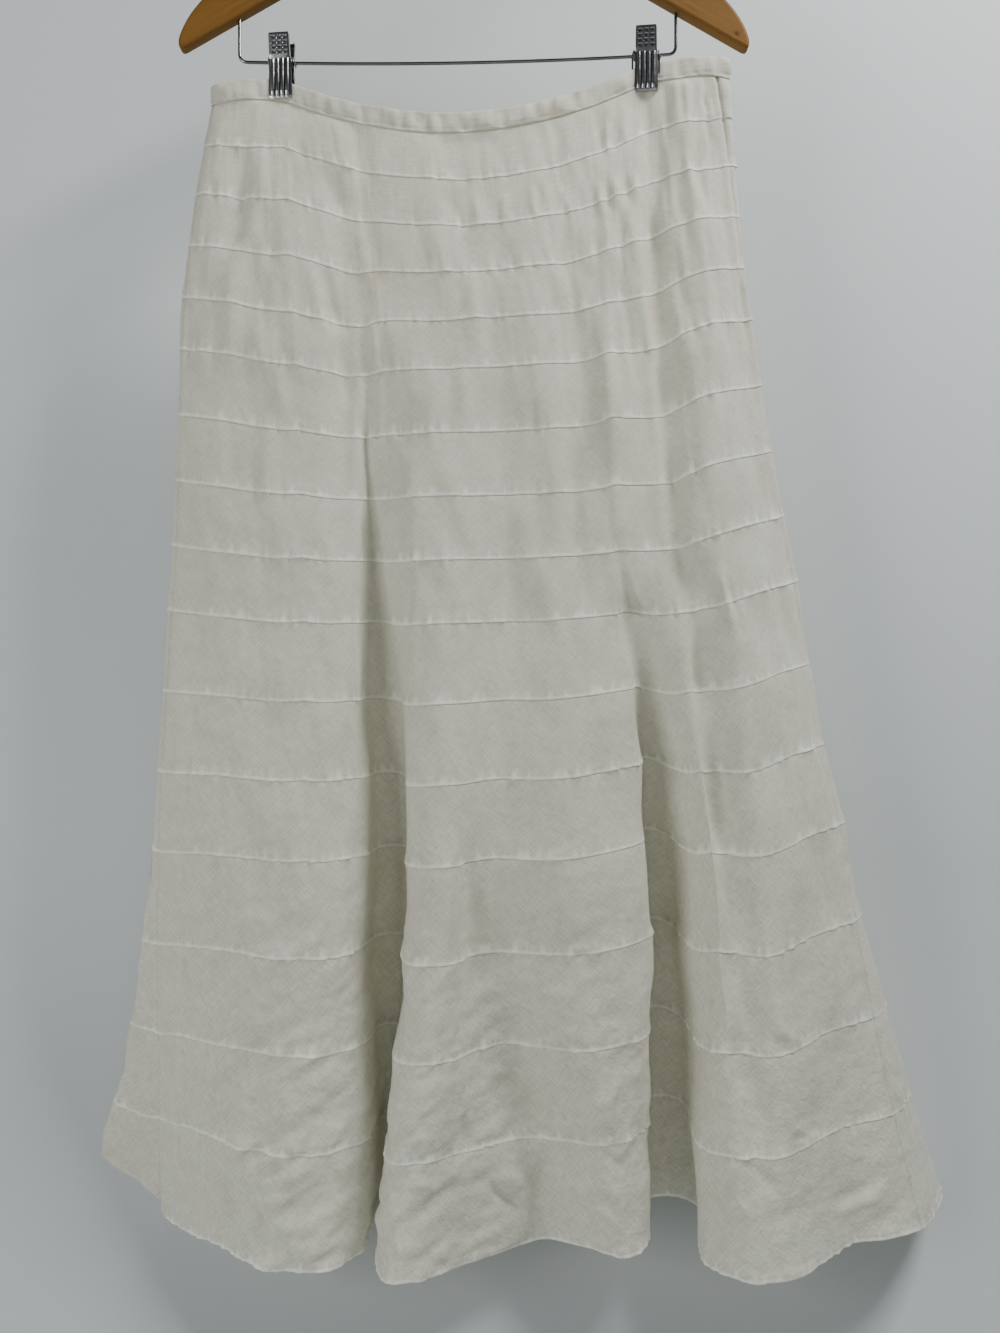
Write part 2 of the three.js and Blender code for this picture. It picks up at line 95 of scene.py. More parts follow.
BACK_LINES = (
    ("right side seam", (197, 218, 248, 293, 350), (-4, 0, 3, 2, -20), (0, 1, 5, 8, 1)),
    ("right corner", (206, 213, 245, 298, 386), (2, 9, 13, 18, 50), (0, 2, 4, 6, 2)),
    ("back right crest", (175, 190, 222, 262, 330), (6, 22, 34, 60, 96), (0, 10, 18, 18, 16)),
    ("back right valley", (141, 157, 184, 214, 262), (2, 24, 28, 36, 44), (0, 18, 24, 24, 24)),
    ("back middle right crest", (100, 112, 132, 158, 196), (11, 32, 46, 72, 104), (0, 9, 14, 14, 14)),
    ("back middle right valley", (50, 58, 70, 88, 118), (14, 32, 38, 48, 52), (0, 1, 2, 2, 2)),
    ("back middle crest", (5, 5, 10, 20, 40), (16, 34, 46, 70, 100), (0, 0, 0, 0, 0)),
    ("back middle left valley", (-30, -28, -26, -22, -15), (15, 33, 40, 52, 58), (0, 1, 1, 1, 1)),
    ("back middle left crest", (-70, -68, -72, -78, -92), (13, 33, 48, 74, 106), (0, 5, 8, 8, 8)),
    ("back left valley", (-142, -118, -122, -132, -160), (2, 28, 34, 44, 54), (0, 18, 24, 22, 22)),
    ("back left crest", (-170, -176, -180, -190, -225), (7, 22, 36, 62, 108), (0, 13, 18, 18, 18)),
    ("left corner", (-191, -213, -222, -243, -318), (5, 9, 14, 18, 85), (0, 5, 8, 9, 8)),
)
RING = FRONT_LINES + BACK_LINES
RING_X = np.array([line[1] for line in RING], float)
RING_Y = np.array([line[2] for line in RING], float)
RING_DROP = np.array([line[3] for line in RING], float)
GIVEN_EVERY = 4  # tiers between the seams that the lines are given at
SIDES = {"front": (0, len(FRONT_LINES)), "back": (len(FRONT_LINES), len(RING))}

# ---- The cut, in millimetres ----

TIER_RUNS = ((5, 37.3), (4, 48), (3, 60), (3, 72), (1, 84))
TIER_HEIGHTS = [height for count, height in TIER_RUNS for _ in range(count)]
TIERS = len(TIER_HEIGHTS)
STRAIGHT_TIERS = 2  # tiers cut with the weave upright, above those cut on the bias
SIDE_GROOVE = 0.7
SLIT = {"groove": 3.2, "width": 2.2, "tiers": 2}  # the open edges over the zip
SIDE_ALLOWANCE = 3
ALLOWANCE = 6.5
BAND_HEIGHT = 16
BAND_STEP = 1.2
WAIST = {"half": 200, "left_end": -266, "left_clip": -262, "right_clip": -249, "right_end": -245, "sag": 38}
CLIP_X = 142
SIDE_STRETCH = {"left": 0.055, "right": 0.064, "from_tier": 2}
YOKE_TAPER = 0.16
HEM_FLARE = 2
FLOW_SEAM = 8  # the seam whose length measures the soft folds of every tier
PUCKER_PITCH = 4.4
PUCKER_RISE = 1.5
CREASE_DEPTH = 1.4
CRUMPLED_FROM = 13

# ---- Creases, in millimetres ----
# From one end to the other across the hanger's plane, bowed sideways by bend in the middle.
# rise is outwards: a ridge is positive, a trough negative.

FRONT_CREASES = (
    # x0, z0, x1, z1, bend, width, rise
    (-170, -286, -186, -408, -5, 9, -4.2),
    (-158, -290, -172, -400, -4, 9, 2.6),
    (-112, -312, -86, -362, 2, 9, -2.6),
    (-108, -390, -95, -452, 2, 5.5, -3.0),
    (-119, -384, -104, -450, 2, 7, 2.0),
    (-96, -448, -84, -505, 1, 9, -2.2),
    (-15, -336, -4, -367, 0, 5, -0.9),
    (10, -345, 11, -365, 0, 3, 0.9),
    (32, -340, 31, -365, 0, 3.4, 1.1),
    (52, -333, 53, -362, 0, 3, 1.2),
    (58, -333, 59, -360, 0, 3, -1.1),
    (-93, -330, -90, -640, 0, 10, -3.4),
    (-67, -330, -65, -640, 0, 10, 2.4),
    (82, -330, 84, -680, 0, 12, -3.2),
    (110, -310, 112, -580, 0, 12, 3.2),
    (153, -440, 172, -700, 3, 7, -4.4),
    (176, -650, 194, -860, 2, 8, -2.8),
    (146, -310, 151, -580, 0, 11, -3.0),
    (184, -300, 194, -620, 1, 13, 4.0),
    (220, -380, 234, -660, 0, 12, -2.2),
    (-73, -1010, -77, -1170, 0, 9, 5.5),
    (24, -1020, 52, -1200, 0, 24, 7.0),
    (190, -262, 193, -280, 1, 2.2, 1.3),
    (183, -258, 190, -276, -1, 2.4, -1.2),
    (186, -276, 192, -300, 0, 3, -0.9),
    (75, -334, 78, -358, 0, 4, 1.1),
    (103, -329, 106, -360, 0, 3.2, 1.5),
    (109, -327, 112, -359, 0, 2.8, -1.4),
    (116, -326, 119, -356, 0, 3, 1.4),
    (123, -322, 127, -353, 0, 2.8, -1.3),
    (132, -320, 135, -351, 0, 3.2, 1.3),
    (113, -280, 109, -305, 1, 3, 1.2),
    (119, -283, 116, -308, 0, 3, -1.2),
    (125, -282, 124, -300, 0, 3, 1.1),
    (176, -297, 193, -362, 2, 6, -1.5),
    (168, -300, 182, -358, 1, 5, 0.8),
    (-38, -590, -38, -745, -2, 5, 1.4),
    (12, -800, 12, -1105, 3, 11, -2.2),
    (0, -1035, 3, -1070, 0, 3.5, -1.5),
    (121, -618, 136, -662, 1, 3.4, 1.6),
    (116, -600, 126, -650, 2, 5, -1.2),
    (193, -625, 207, -680, 1, 4, 2.0),
    (199, -630, 214, -690, 1, 4, -1.8),
    (180, -668, 182, -735, 2, 5, -1.6),
    (190, -755, 192, -850, -2, 6, -1.6),
    (222, -690, 230, -770, 2, 7, 1.0),
    (-215, -1068, -162, -1135, -6, 7, -2.6),
    (-198, -1102, -176, -1146, -2, 6, 2.2),
    (-169, -1092, -143, -1134, -3, 5, -1.6),
    (-186, -1060, -150, -1098, -3, 8, 1.4),
    (-128, -1130, -100, -1124, 2, 4, -1.0),
    (-140, -1112, -96, -1100, 3, 6, -1.0),
    (-205, -1040, -232, -1075, 3, 5, -1.3),
    (2, -1088, 45, -1134, -6, 5, -2.6),
    (16, -1080, 58, -1124, -5, 7, 1.8),
    (-27, -1132, -8, -1151, 2, 5, -1.6),
    (-58, -1108, -42, -1150, 2, 4, -1.1),
    (-38, -1076, -12, -1088, 1, 3.5, 1.2),
    (72, -1076, 109, -1121, 4, 5, 1.9),
    (66, -1084, 100, -1128, 4, 5, -1.5),
    (98, -1104, 122, -1124, 1, 3.5, 1.5),
    (100, -1058, 128, -1082, 2, 4, -1.0),
    (228, -962, 254, -985, 1, 4, 1.0),
    (222, -968, 248, -994, 1, 4, -0.9),
    (236, -1035, 262, -1050, 2, 3, 1.1),
    (240, -1052, 272, -1048, -3, 3, -1.0),
    (272, -1112, 322, -1096, 4, 4.5, 1.6),
    (268, -1104, 318, -1088, 4, 4.5, -1.4),
    (206, -1062, 236, -1086, 2, 4, -1.3),
    (198, -1084, 214, -1106, 1, 4, 1.1),
    (210, -1108, 262, -1102, -4, 5, -1.0),
    (224, -1140, 258, -1140, 2, 4, 1.0),
    (300, -1122, 344, -1106, 3, 5, -1.2),
    (286, -1066, 330, -1078, 3, 5, 0.9),
)
BACK_CREASES = (
    (150, -300, 158, -372, 3, 7, -1.4),
    (96, -312, 90, -362, -2, 5, 0.9),
    (40, -318, 46, -366, 1, 4, -0.9),
    (-52, -322, -60, -370, -1, 4.5, 0.8),
    (-128, -305, -112, -390, 3, 7, -1.5),
    (-168, -290, -176, -352, -2, 6, 1.0),
    (118, -420, 128, -560, 4, 10, -1.8),
    (-92, -440, -96, -600, -3, 12, 1.6),
    (24, -600, 34, -760, 3, 9, -1.6),
    (-48, -640, -42, -800, -2, 8, 1.2),
    (-150, -700, -158, -860, -4, 9, -2.0),
    (190, -720, 204, -860, 3, 8, 1.6),
    (-204, -1000, -262, -1078, 6, 7, -2.2),
    (-230, -1048, -286, -1096, 4, 6, 1.6),
    (-130, -1060, -96, -1108, -4, 6, -1.8),
    (-60, -1072, -30, -1118, -3, 5, 1.6),
    (8, -1064, 48, -1110, -4, 6, -2.0),
    (84, -1080, 120, -1068, 3, 5, 1.2),
    (150, -1048, 196, -1100, -5, 7, -2.0),
    (214, -1072, 258, -1056, 4, 5, 1.4),
    (270, -1040, 326, -1102, -5, 7, -2.0),
    (300, -1010, 352, -1052, -4, 6, 1.4),
    (-100, -980, -64, -1006, 2, 5, 1.0),
    (120, -968, 160, -990, 2, 5, -1.1),
)
CREASES = {"front": np.array(FRONT_CREASES, float), "back": np.array(BACK_CREASES, float)}

# Faint brown marks on the front, partly stains and partly painted shade along folds and creases: middle and
# half sizes in millimetres, and strength.
STAINS_AND_SHADE = (
    (66, -278, 11, 4, 0.5),
    (146, -438, 4, 24, 0.35),
    (-63, -331, 12, 3, 0.3),
    (-67, -406, 12, 4, 0.3),
    (180, -296, 9, 6, 0.25),
    (48, -633, 12, 5, 0.22),
    (118, -660, 12, 20, 0.2),
)


# ---- Curves and noise, in millimetres ----


def smooth_value(a, b, c, d, t):
    """Catmull-Rom value between b and c."""
    linear = (c - a) * t
    square = (2 * a - 5 * b + 4 * c - d) * t**2
    cube = (3 * b - a - 3 * c + d) * t**3
    return b + 0.5 * (linear + square + cube)


def ease(value, low, high):
    """0 below low, 1 above high and a smooth step between them."""
    t = np.clip((value - low) / (high - low), 0, 1)
    return t * t * (3 - 2 * t)


def lines_at(values, seam):
    """Every fold line's x or y at each seam place: one row for each place."""
    last = values.shape[1] - 1
    at = np.clip(np.atleast_1d(seam) / GIVEN_EVERY, 0, last)
    i = np.minimum(at.astype(int), last - 1)
    flared = values[:, last] + HEM_FLARE * (values[:, last] - values[:, last - 1])
    padded = np.column_stack([2 * values[:, 0] - values[:, 1], values, flared])
    near = [padded[:, i + step].T for step in range(4)]
    return smooth_value(*near, (at - i)[:, None])


def plan(around, seam):
    """For each seam place and each place round the ring: x, y and how far the cloth hangs below its cut."""
    i = np.floor(around).astype(int)
    t = around - i
    count = len(RING)
    found = []
    for values in (RING_X, RING_Y, RING_DROP):
        lines = lines_at(values, seam)
        near = [lines[:, (i + step) % count] for step in (-1, 0, 1, 2)]
        found.append(smooth_value(*near, t))
    return found


def waist_height(x):
    """Height of the waist seam: a sagging chord between the clips, straight beyond them."""
    chord = np.interp(x, (-CLIP_X, CLIP_X), (WAIST["left_clip"], WAIST["right_clip"]))
    sagging = chord - WAIST["sag"] * np.clip(1 - (x / CLIP_X) ** 2, 0, 1)
    left = np.interp(x, (-WAIST["half"], -CLIP_X), (WAIST["left_end"], WAIST["left_clip"]))
    right = np.interp(x, (CLIP_X, WAIST["half"]), (WAIST["right_clip"], WAIST["right_end"]))
    return np.where(x < -CLIP_X, left, np.where(x > CLIP_X, right, sagging))


def stretch(waist_x, tier):
    """How much longer than its cut a tier hangs in each place."""
    to_side = np.minimum(np.abs(waist_x) / WAIST["half"], 1)
    slanted = 0
    if tier >= SIDE_STRETCH["from_tier"]:
        slanted = np.where(waist_x < 0, SIDE_STRETCH["left"], SIDE_STRETCH["right"]) * to_side**4
    taper = YOKE_TAPER * to_side**8 if tier == 0 else 0
    return 1 + slanted - taper


def seam_heights(around):
    """Heights of the seams 0 to 16 at each place: each tier keeps its cut length along the slope."""
    x, y, drop = plan(around, np.arange(TIERS + 1))
    heights = [waist_height(x[0])]
    for tier, cut in enumerate(TIER_HEIGHTS):
        sideways = np.hypot(x[tier + 1] - x[tier], y[tier + 1] - y[tier])
        length = cut * stretch(x[0], tier)
        heights.append(heights[-1] - np.sqrt(length**2 - sideways**2))
    started = np.sqrt(np.minimum(np.arange(TIERS + 1) / GIVEN_EVERY, 1))
    return np.array(heights) - drop * started[:, None]


def cloth_points(around, seam):
    """Points of the plain cloth, seams by places by 3. Above the waist seam it stands straight up."""
    x, y, _ = plan(around, np.clip(seam, 0, TIERS))
    heights = seam_heights(around)
    above = np.minimum(seam, 0)[:, None] * -TIER_HEIGHTS[0]
    tier = np.clip(np.floor(seam).astype(int), 0, TIERS - 1)
    share = np.clip(seam - tier, 0, 1)[:, None]
    z = heights[tier] * (1 - share) + heights[tier + 1] * share + above
    return np.dstack([x, y, z])


def normals_of(points):
    """Outward directions of a grid of points."""
    down = np.gradient(points, axis=0)
    along = np.gradient(points, axis=1)
    normal = np.cross(down, along)
    return normal / np.maximum(np.linalg.norm(normal, axis=2, keepdims=True), 1e-9)


LATTICE = np.random.default_rng(7).uniform(-1, 1, (96, 96))  # the values that the smooth noise runs between


def drift(u, v, shift=0):
    """Smooth noise from -1 to 1 that changes over about 1 unit; shift picks another pattern."""
    u, v = np.broadcast_arrays(u + 17.3 * shift, v + 29.1 * shift)
    i, j = np.floor(u).astype(int), np.floor(v).astype(int)
    s, t = ease(u - i, 0, 1), ease(v - j, 0, 1)
    size = len(LATTICE)
    corner = [LATTICE[(i + a) % size, (j + b) % size] for a in (0, 1) for b in (0, 1)]
    left = corner[0] * (1 - t) + corner[1] * t
    right = corner[2] * (1 - t) + corner[3] * t
    return left * (1 - s) + right * s


def creases(side, points):
    """How far the hand-set creases lift the cloth at each point."""
    x, z = points[..., 0], points[..., 2]
    lift = np.zeros(x.shape)
    for x0, z0, x1, z1, bend, width, rise in CREASES[side]:
        length = math.hypot(x1 - x0, z1 - z0)
        ux, uz = (x1 - x0) / length, (z1 - z0) / length
        along = ((x - x0) * ux + (z - z0) * uz) / length
        across = (x - x0) * uz - (z - z0) * ux
        bowed = across - bend * 4 * along * (1 - along)
        ends = ease(np.minimum(along, 1 - along), 0, 0.35)
        lift += rise * ends * np.exp(-((bowed / width) ** 2))
    return CREASE_DEPTH * lift


def puckers(arc, above, seam):
    """Small ridges square to a seam, fading above it and sooner below, as its stitches draw the cloth in."""
    ridge = drift(arc / PUCKER_PITCH, 0, seam) + 0.4 * drift(arc / 2.1, 0.5, seam)
    crowd = 0.3 + 0.9 * ease(drift(arc / 42, 8.1, seam), -0.5, 0.6)
    reach = np.where(above > 0, 6.5 + 3 * drift(arc / 20, 3.7, seam), 2.4)
    return PUCKER_RISE * crowd * ridge * np.exp(-np.abs(above) / reach)


def softness(side, flow, points, seam):
    """The cloth's loose unevenness: gathered near the waist, broad below and crumpled in the last tiers.

    Each drift has its height before it, and divides its distances by the lengths over which it changes.
    """
    x, z = points[..., 0], points[..., 2]
    shift = 2 if side == "front" else 5
    gathered = (0.3 + 0.7 * (1 - ease(seam, 3.5, 7)))[:, None] * (0.4 + 0.85 * ease(x, 0, 120))
    upright = 1.2 * drift(flow / 9, z / 45, shift) + 0.5 * drift(flow / 4.5, z / 24, shift + 1)
    slack = 1.9 * ease(seam, 1, 3)[:, None]
    broad = 2.4 * drift(flow / 28, z / 70, shift + 2) + slack * drift(flow / 14, z / 36, shift + 5)
    crumple = ease(seam, CRUMPLED_FROM - 2.5, CRUMPLED_FROM + 2)[:, None]
    turned = flow * 0.8 + z * 0.6
    across = z * 0.8 - flow * 0.6
    folds = 1.7 * drift(turned / 26, across / 9, shift + 3) + drift(turned / 8, across / 5, shift + 4)
    strength = 1.3 - 0.35 * ease(x, -150, 0) - 0.65 * ease(x, 60, 200)
    if side == "back":
        strength = strength * 0.4
    return gathered * upright + broad + crumple * strength * folds


def seam_ruck(x, z, near):
    """Small rucks across a side seam, alike on both its sides, deeper towards the hem and by the zip."""
    beside_zip = (x > 0) * (1 - ease(-z, 285, 330))
    depth = 0.35 + 0.75 * ease(-z, 700, 1000) + 0.9 * beside_zip
    return depth * (drift(z / 5.5, 3.3, 12) + 0.5 * drift(z / 14, 1.7, 13)) * np.exp(-near / 6)


def running(steps):
    """The distance covered after each step, starting from 0."""
    return np.concatenate([[0], np.cumsum(steps)])


def run_along(side, seam):
    """Places round one side of the ring, and their distance along a seam from its first edge."""
    places = np.linspace(*SIDES[side], 1200)
    x, y, _ = plan(places, np.array([seam]))
    return places, running(np.hypot(np.diff(x[0]), np.diff(y[0])))


def run_down(points):
    """Distance of each row of a grid of points from its first row, the mean of all columns."""
    return running(np.linalg.norm(np.diff(points, axis=0), axis=2).mean(axis=1))


def even_places(side, seam, step):
    """Places round one side of the ring an even step apart, and their distance from its first edge."""
    places, run = run_along(side, seam)
    arc = np.linspace(0, run[-1], int(math.ceil(run[-1] / step)) + 1)
    edge = np.array([0.35, 0.8])
    arc = np.unique(np.concatenate([arc, arc[0] + edge, arc[-1] - edge]))
    arc = np.concatenate([arc[:1], arc, arc[-1:]])
    return np.interp(arc, run, places), arc


# ---- Sheets ----


def sheet_mesh(name, points, arc, down, edges, material):
    """A smooth mesh of a grid of points, with its own cloth map and its distances from its edges.

    The map runs arc across and down. edges holds the attributes, which are in millimetres.
    """
    rows, columns = points.shape[:2]
    uv = np.dstack(np.broadcast_arrays(arc[None, :], down[:, None]))
    grid = np.arange(rows * columns).reshape(rows, columns)
    faces = np.stack([grid[:-1, :-1], grid[1:, :-1], grid[1:, 1:], grid[:-1, 1:]], axis=-1).reshape(-1, 4)
    mesh = bpy.data.meshes.new(name)
    mesh.vertices.add(rows * columns)
    mesh.vertices.foreach_set("co", (points.reshape(-1, 3) * MM).ravel())
    mesh.loops.add(faces.size)
    mesh.loops.foreach_set("vertex_index", faces.ravel())
    mesh.polygons.add(len(faces))
    mesh.polygons.foreach_set("loop_start", np.arange(0, faces.size, 4))
    mesh.update(calc_edges=True)
    layer = mesh.uv_layers.new(name="cloth")
    layer.data.foreach_set("uv", (uv.reshape(-1, 2)[faces.ravel()] * MM).ravel())
    for key, values in edges.items():
        made = mesh.attributes.new(key, "FLOAT", "POINT")
        made.data.foreach_set("value", np.broadcast_to(values, (rows, columns)).astype(np.float32).ravel())
    mesh.polygons.foreach_set("use_smooth", np.ones(len(faces), bool))
    mesh.materials.append(material)
    piece = bpy.data.objects.new(name, mesh)
    bpy.context.scene.collection.objects.link(piece)
    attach(piece, BODY)
    return piece


def side_turn(arc, slit_end=None):
    """How far a sheet turns in towards the body along its side edges, whose end columns stand inside.

    slit_end is the end, 0 or -1, over the zip, where the seam is open.
    """
    near = np.minimum(arc - arc[0], arc[-1] - arc)
    turn = -SIDE_GROOVE * (1 - ease(near, 0, 1.5))
    if slit_end is not None:
        from_slit = np.abs(arc - arc[slit_end])
        turn = np.minimum(turn, -SLIT["groove"] * (1 - ease(from_slit, 0, SLIT["width"])))
    turn[[0, -1]] = np.minimum(turn[[0, -1]], -SIDE_ALLOWANCE)
    return turn, ease(near, 0.3, 7)


def ring_normals(around, seam):
    """Outward directions of the plain cloth, the same for two sheets where they meet."""
    padded = np.concatenate([[around[0] - 0.04], np.maximum.accumulate(around), [around[-1] + 0.04]])
    padded[1:-1] += np.linspace(-1e-4, 1e-4, len(around))
    return normals_of(cloth_points(padded, seam))[:, 1:-1]


def tier_rows(tier):
    """A tier's rows from its hidden top allowance to its turned lower edge.

    below is the distance down from the upper seam, out the offset of the cloth there.
    """
    cut = TIER_HEIGHTS[tier]
    last = tier == TIERS - 1
    upper = [(-ALLOWANCE, -0.7), (-3, -0.62), (-1, -0.5), (-0.2, -0.35)]
    upper += [(0.15, -0.16), (0.5, -0.05), (1.2, 0), (2.6, 0.03)]
    spacing = 3.2 if tier >= CRUMPLED_FROM - 1 else 3.8
    stop = cut - ALLOWANCE - 2.5
    middle = [(at, 0.05) for at in np.linspace(5, stop, max(2, round((stop - 5) / spacing) + 1))]
    ridge = [(8, 0.08), (6.6, 0.16), (5.2, 0.24), (3.9, 0.34), (2.8, 0.4)]
    ridge += [(1.9, 0.46), (1.1, 0.5), (0.6, 0.48)]
    roll = [(0.25, 0.4), (0.05, 0.28), (-0.04, 0.16), (0.1, 0.12), (0.5, 0.02), (1.6, -0.02)]
    if last:
        ridge = [(7, 0.12), (5.6, 0.34), (4.6, 0.42), (3, 0.44), (1.6, 0.5), (0.8, 0.5)]
        roll = [(0.25, 0.42), (0.0, 0.2), (0.0, -0.1), (0.25, -0.3), (0.9, -0.36), (3.5, -0.36)]
    lower = [(cut - up, out) for up, out in ridge + roll]
    return np.array(upper + middle + lower), len(roll)


def tier_sheet(side, tier, step, material):
    """One tier's front or back strip, from its top allowance under the seam to its turned lower edge."""
    rows, rolled = tier_rows(tier)
    cut = TIER_HEIGHTS[tier]
    below, out = rows[:, 0], rows[:, 1]
    previous = TIER_HEIGHTS[max(tier - 1, 0)]
    seam = np.where(below < 0, tier + below / previous, tier + below / cut)
    around, arc = even_places(side, tier + 0.5, step)
    base = cloth_points(around, seam)
    normal = ring_normals(around, seam)
    normal[-rolled:] = normal[-rolled - 1]
    above = (cut - below)[:, None]
    slit_end = (-1 if side == "front" else 0) if tier < SLIT["tiers"] else None
    turn, loose = side_turn(arc, slit_end)
    if slit_end is not None:
        turn = turn * np.ones((len(rows), 1))
        closed = side_turn(arc)[0]
        share = ease((tier * cut + below) / (SLIT["tiers"] * cut), 0.55, 0.95)[:, None]
        turn = turn * (1 - share) + closed * share
    seams = (tier, tier + 1, FLOW_SEAM)
    upper_arc, lower_arc, flow = [np.interp(around, *run_along(side, at)) for at in seams]
    lift = puckers(lower_arc, above, tier + 1) + puckers(upper_arc, -below[:, None], tier)
    lift = (lift + creases(side, base) + softness(side, flow, base, seam)) * loose
    if tier == 0:
        lift = lift * ease(below, 0, 7)[:, None]
    near = np.minimum(arc - arc[0], arc[-1] - arc)
    lift = lift + out[:, None] + turn + seam_ruck(base[..., 0], base[..., 2], near)
    points = base + normal * lift[..., None]
    down = run_down(points)
    down = down - down[np.argmax(below >= 0)]
    edges = {"from_top": below[:, None], "from_edge": above, "from_side": near}
    piece = sheet_mesh(f"linen_tier_{tier + 1:02d}_{side}", points, arc, down, edges, material)
    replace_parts(piece, f"tier_{tier + 1:02d}_{side}")


BAND_PROFILE = (
    # up from the seam, outwards: round the lower edge, up the outside, over the top and down the inside
    (0.4, 0.1), (0.02, 0.3), (0.15, 0.6), (0.7, 0.78), (1.5, 0.74), (2.1, 0.6), (2.5, 0.5), (2.9, 0.6),
    (3.5, 0.78), (4.4, 0.86), (7, 0.9), (10, 0.9), (13, 0.86), (14.8, 0.7), (15.7, 0.3), (16, -0.4),
    (15.7, -1.1), (14.8, -1.45), (12, -1.55), (8, -1.6), (4, -1.6), (0.5, -1.55),
)
STITCH_HEIGHT = 2.5  # of the topstitching above the waistband's foot, where its profile dips
FAR = 20  # stands for being nowhere near an edge


def waistband_sheet(side, material):
    """Half of the waistband: the linen folded double over its top edge, topstitched along its foot."""
    profile = np.array(BAND_PROFILE)
    around, arc = even_places(side, 0.0, BAND_STEP)
    up, out = profile[:, 0], profile[:, 1]
    at_seam = np.array([0.0, 0.02])
    ring = cloth_points(around, at_seam)
    normal = ring_normals(around, at_seam)[0]
    normal[:, 2] = 0
    normal /= np.linalg.norm(normal, axis=1, keepdims=True)
    base = np.repeat(ring[:1], len(profile), axis=0)
    base[..., 2] += up[:, None]
    outside = (out > -0.5)[:, None]
    upright = 2.5 * drift(arc / 6, up[:, None] / 22, 3) + 2.2 * drift(arc / 17, up[:, None] / 30, 4)
    upright = upright * ease(np.abs(np.abs(ring[0, :, 0]) - CLIP_X), 8, 20)
    quilt = upright * np.sin(np.clip(up / BAND_HEIGHT, 0, 1) * math.pi)[:, None] ** 0.7
    drawn = 0.5 * drift(arc / 3.4, 2.0, 6) * np.exp(-(((up - STITCH_HEIGHT) / 1.6) ** 2))[:, None]
    sag = 0.8 * drift(arc / 50, 1.5, 9) * ease(up, 2, BAND_HEIGHT)[:, None]
    turn, loose = side_turn(arc)
    turn = np.where(turn < -SIDE_GROOVE, turn, 0)
    lift = out[:, None] + (np.where(outside, quilt + drawn, -quilt * 0.4) + sag) * loose + turn
    points = base + normal[None] * lift[..., None]
    edges = {"from_top": FAR, "from_edge": up[:, None], "from_side": FAR}
    piece = sheet_mesh(f"linen_waistband_{side}", points, arc, run_down(points), edges, material)
    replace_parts(piece, f"waistband_{side}")


# ---- Shader maths ----


class Signal:
    """A socket of a material, so that shader maths reads as plain expressions."""

    def __init__(self, tree, socket):
        self.tree = tree
        self.socket = socket

    def math(self, operation, *values, clamp=False):
        node = self.tree.nodes.new("ShaderNodeMath")
        node.operation = operation
        node.use_clamp = clamp
        for place, value in enumerate(values):
            join(self.tree, value, node.inputs[place])
        return Signal(self.tree, node.outputs[0])

    def __add__(self, other):
        return self.math("ADD", self, other)

    def __radd__(self, other):
        return self.math("ADD", other, self)

    def __sub__(self, other):
        return self.math("SUBTRACT", self, other)

    def __rsub__(self, other):
        return self.math("SUBTRACT", other, self)

    def __mul__(self, other):
        return self.math("MULTIPLY", self, other)

    def __rmul__(self, other):
        return self.math("MULTIPLY", other, self)

    def __truediv__(self, other):
        return self.math("DIVIDE", self, other)

    def absolute(self):
        return self.math("ABSOLUTE", self)

    def sine(self):
        return self.math("SINE", self)

    def clamped(self):
        return self.math("ADD", self, 0.0, clamp=True)

    def bell(self, middle, half):
        """1 at the middle, fading to nothing over about twice the half width."""
        off = (self - middle) / half
        return self.math("EXPONENT", off * off * -1.0)

    def step(self, low, high):
        """A smooth step from 0 at low to 1 at high."""
        node = self.tree.nodes.new("ShaderNodeMapRange")
        node.interpolation_type = "SMOOTHSTEP"
        join(self.tree, self, node.inputs["Value"])
        node.inputs["From Min"].default_value = low
        node.inputs["From Max"].default_value = high
        return Signal(self.tree, node.outputs["Result"])


def join(tree, value, socket):
    """Sets a socket to a plain value or links it to a signal."""
    if isinstance(value, Signal):
        tree.links.new(value.socket, socket)
    else:
        socket.default_value = value


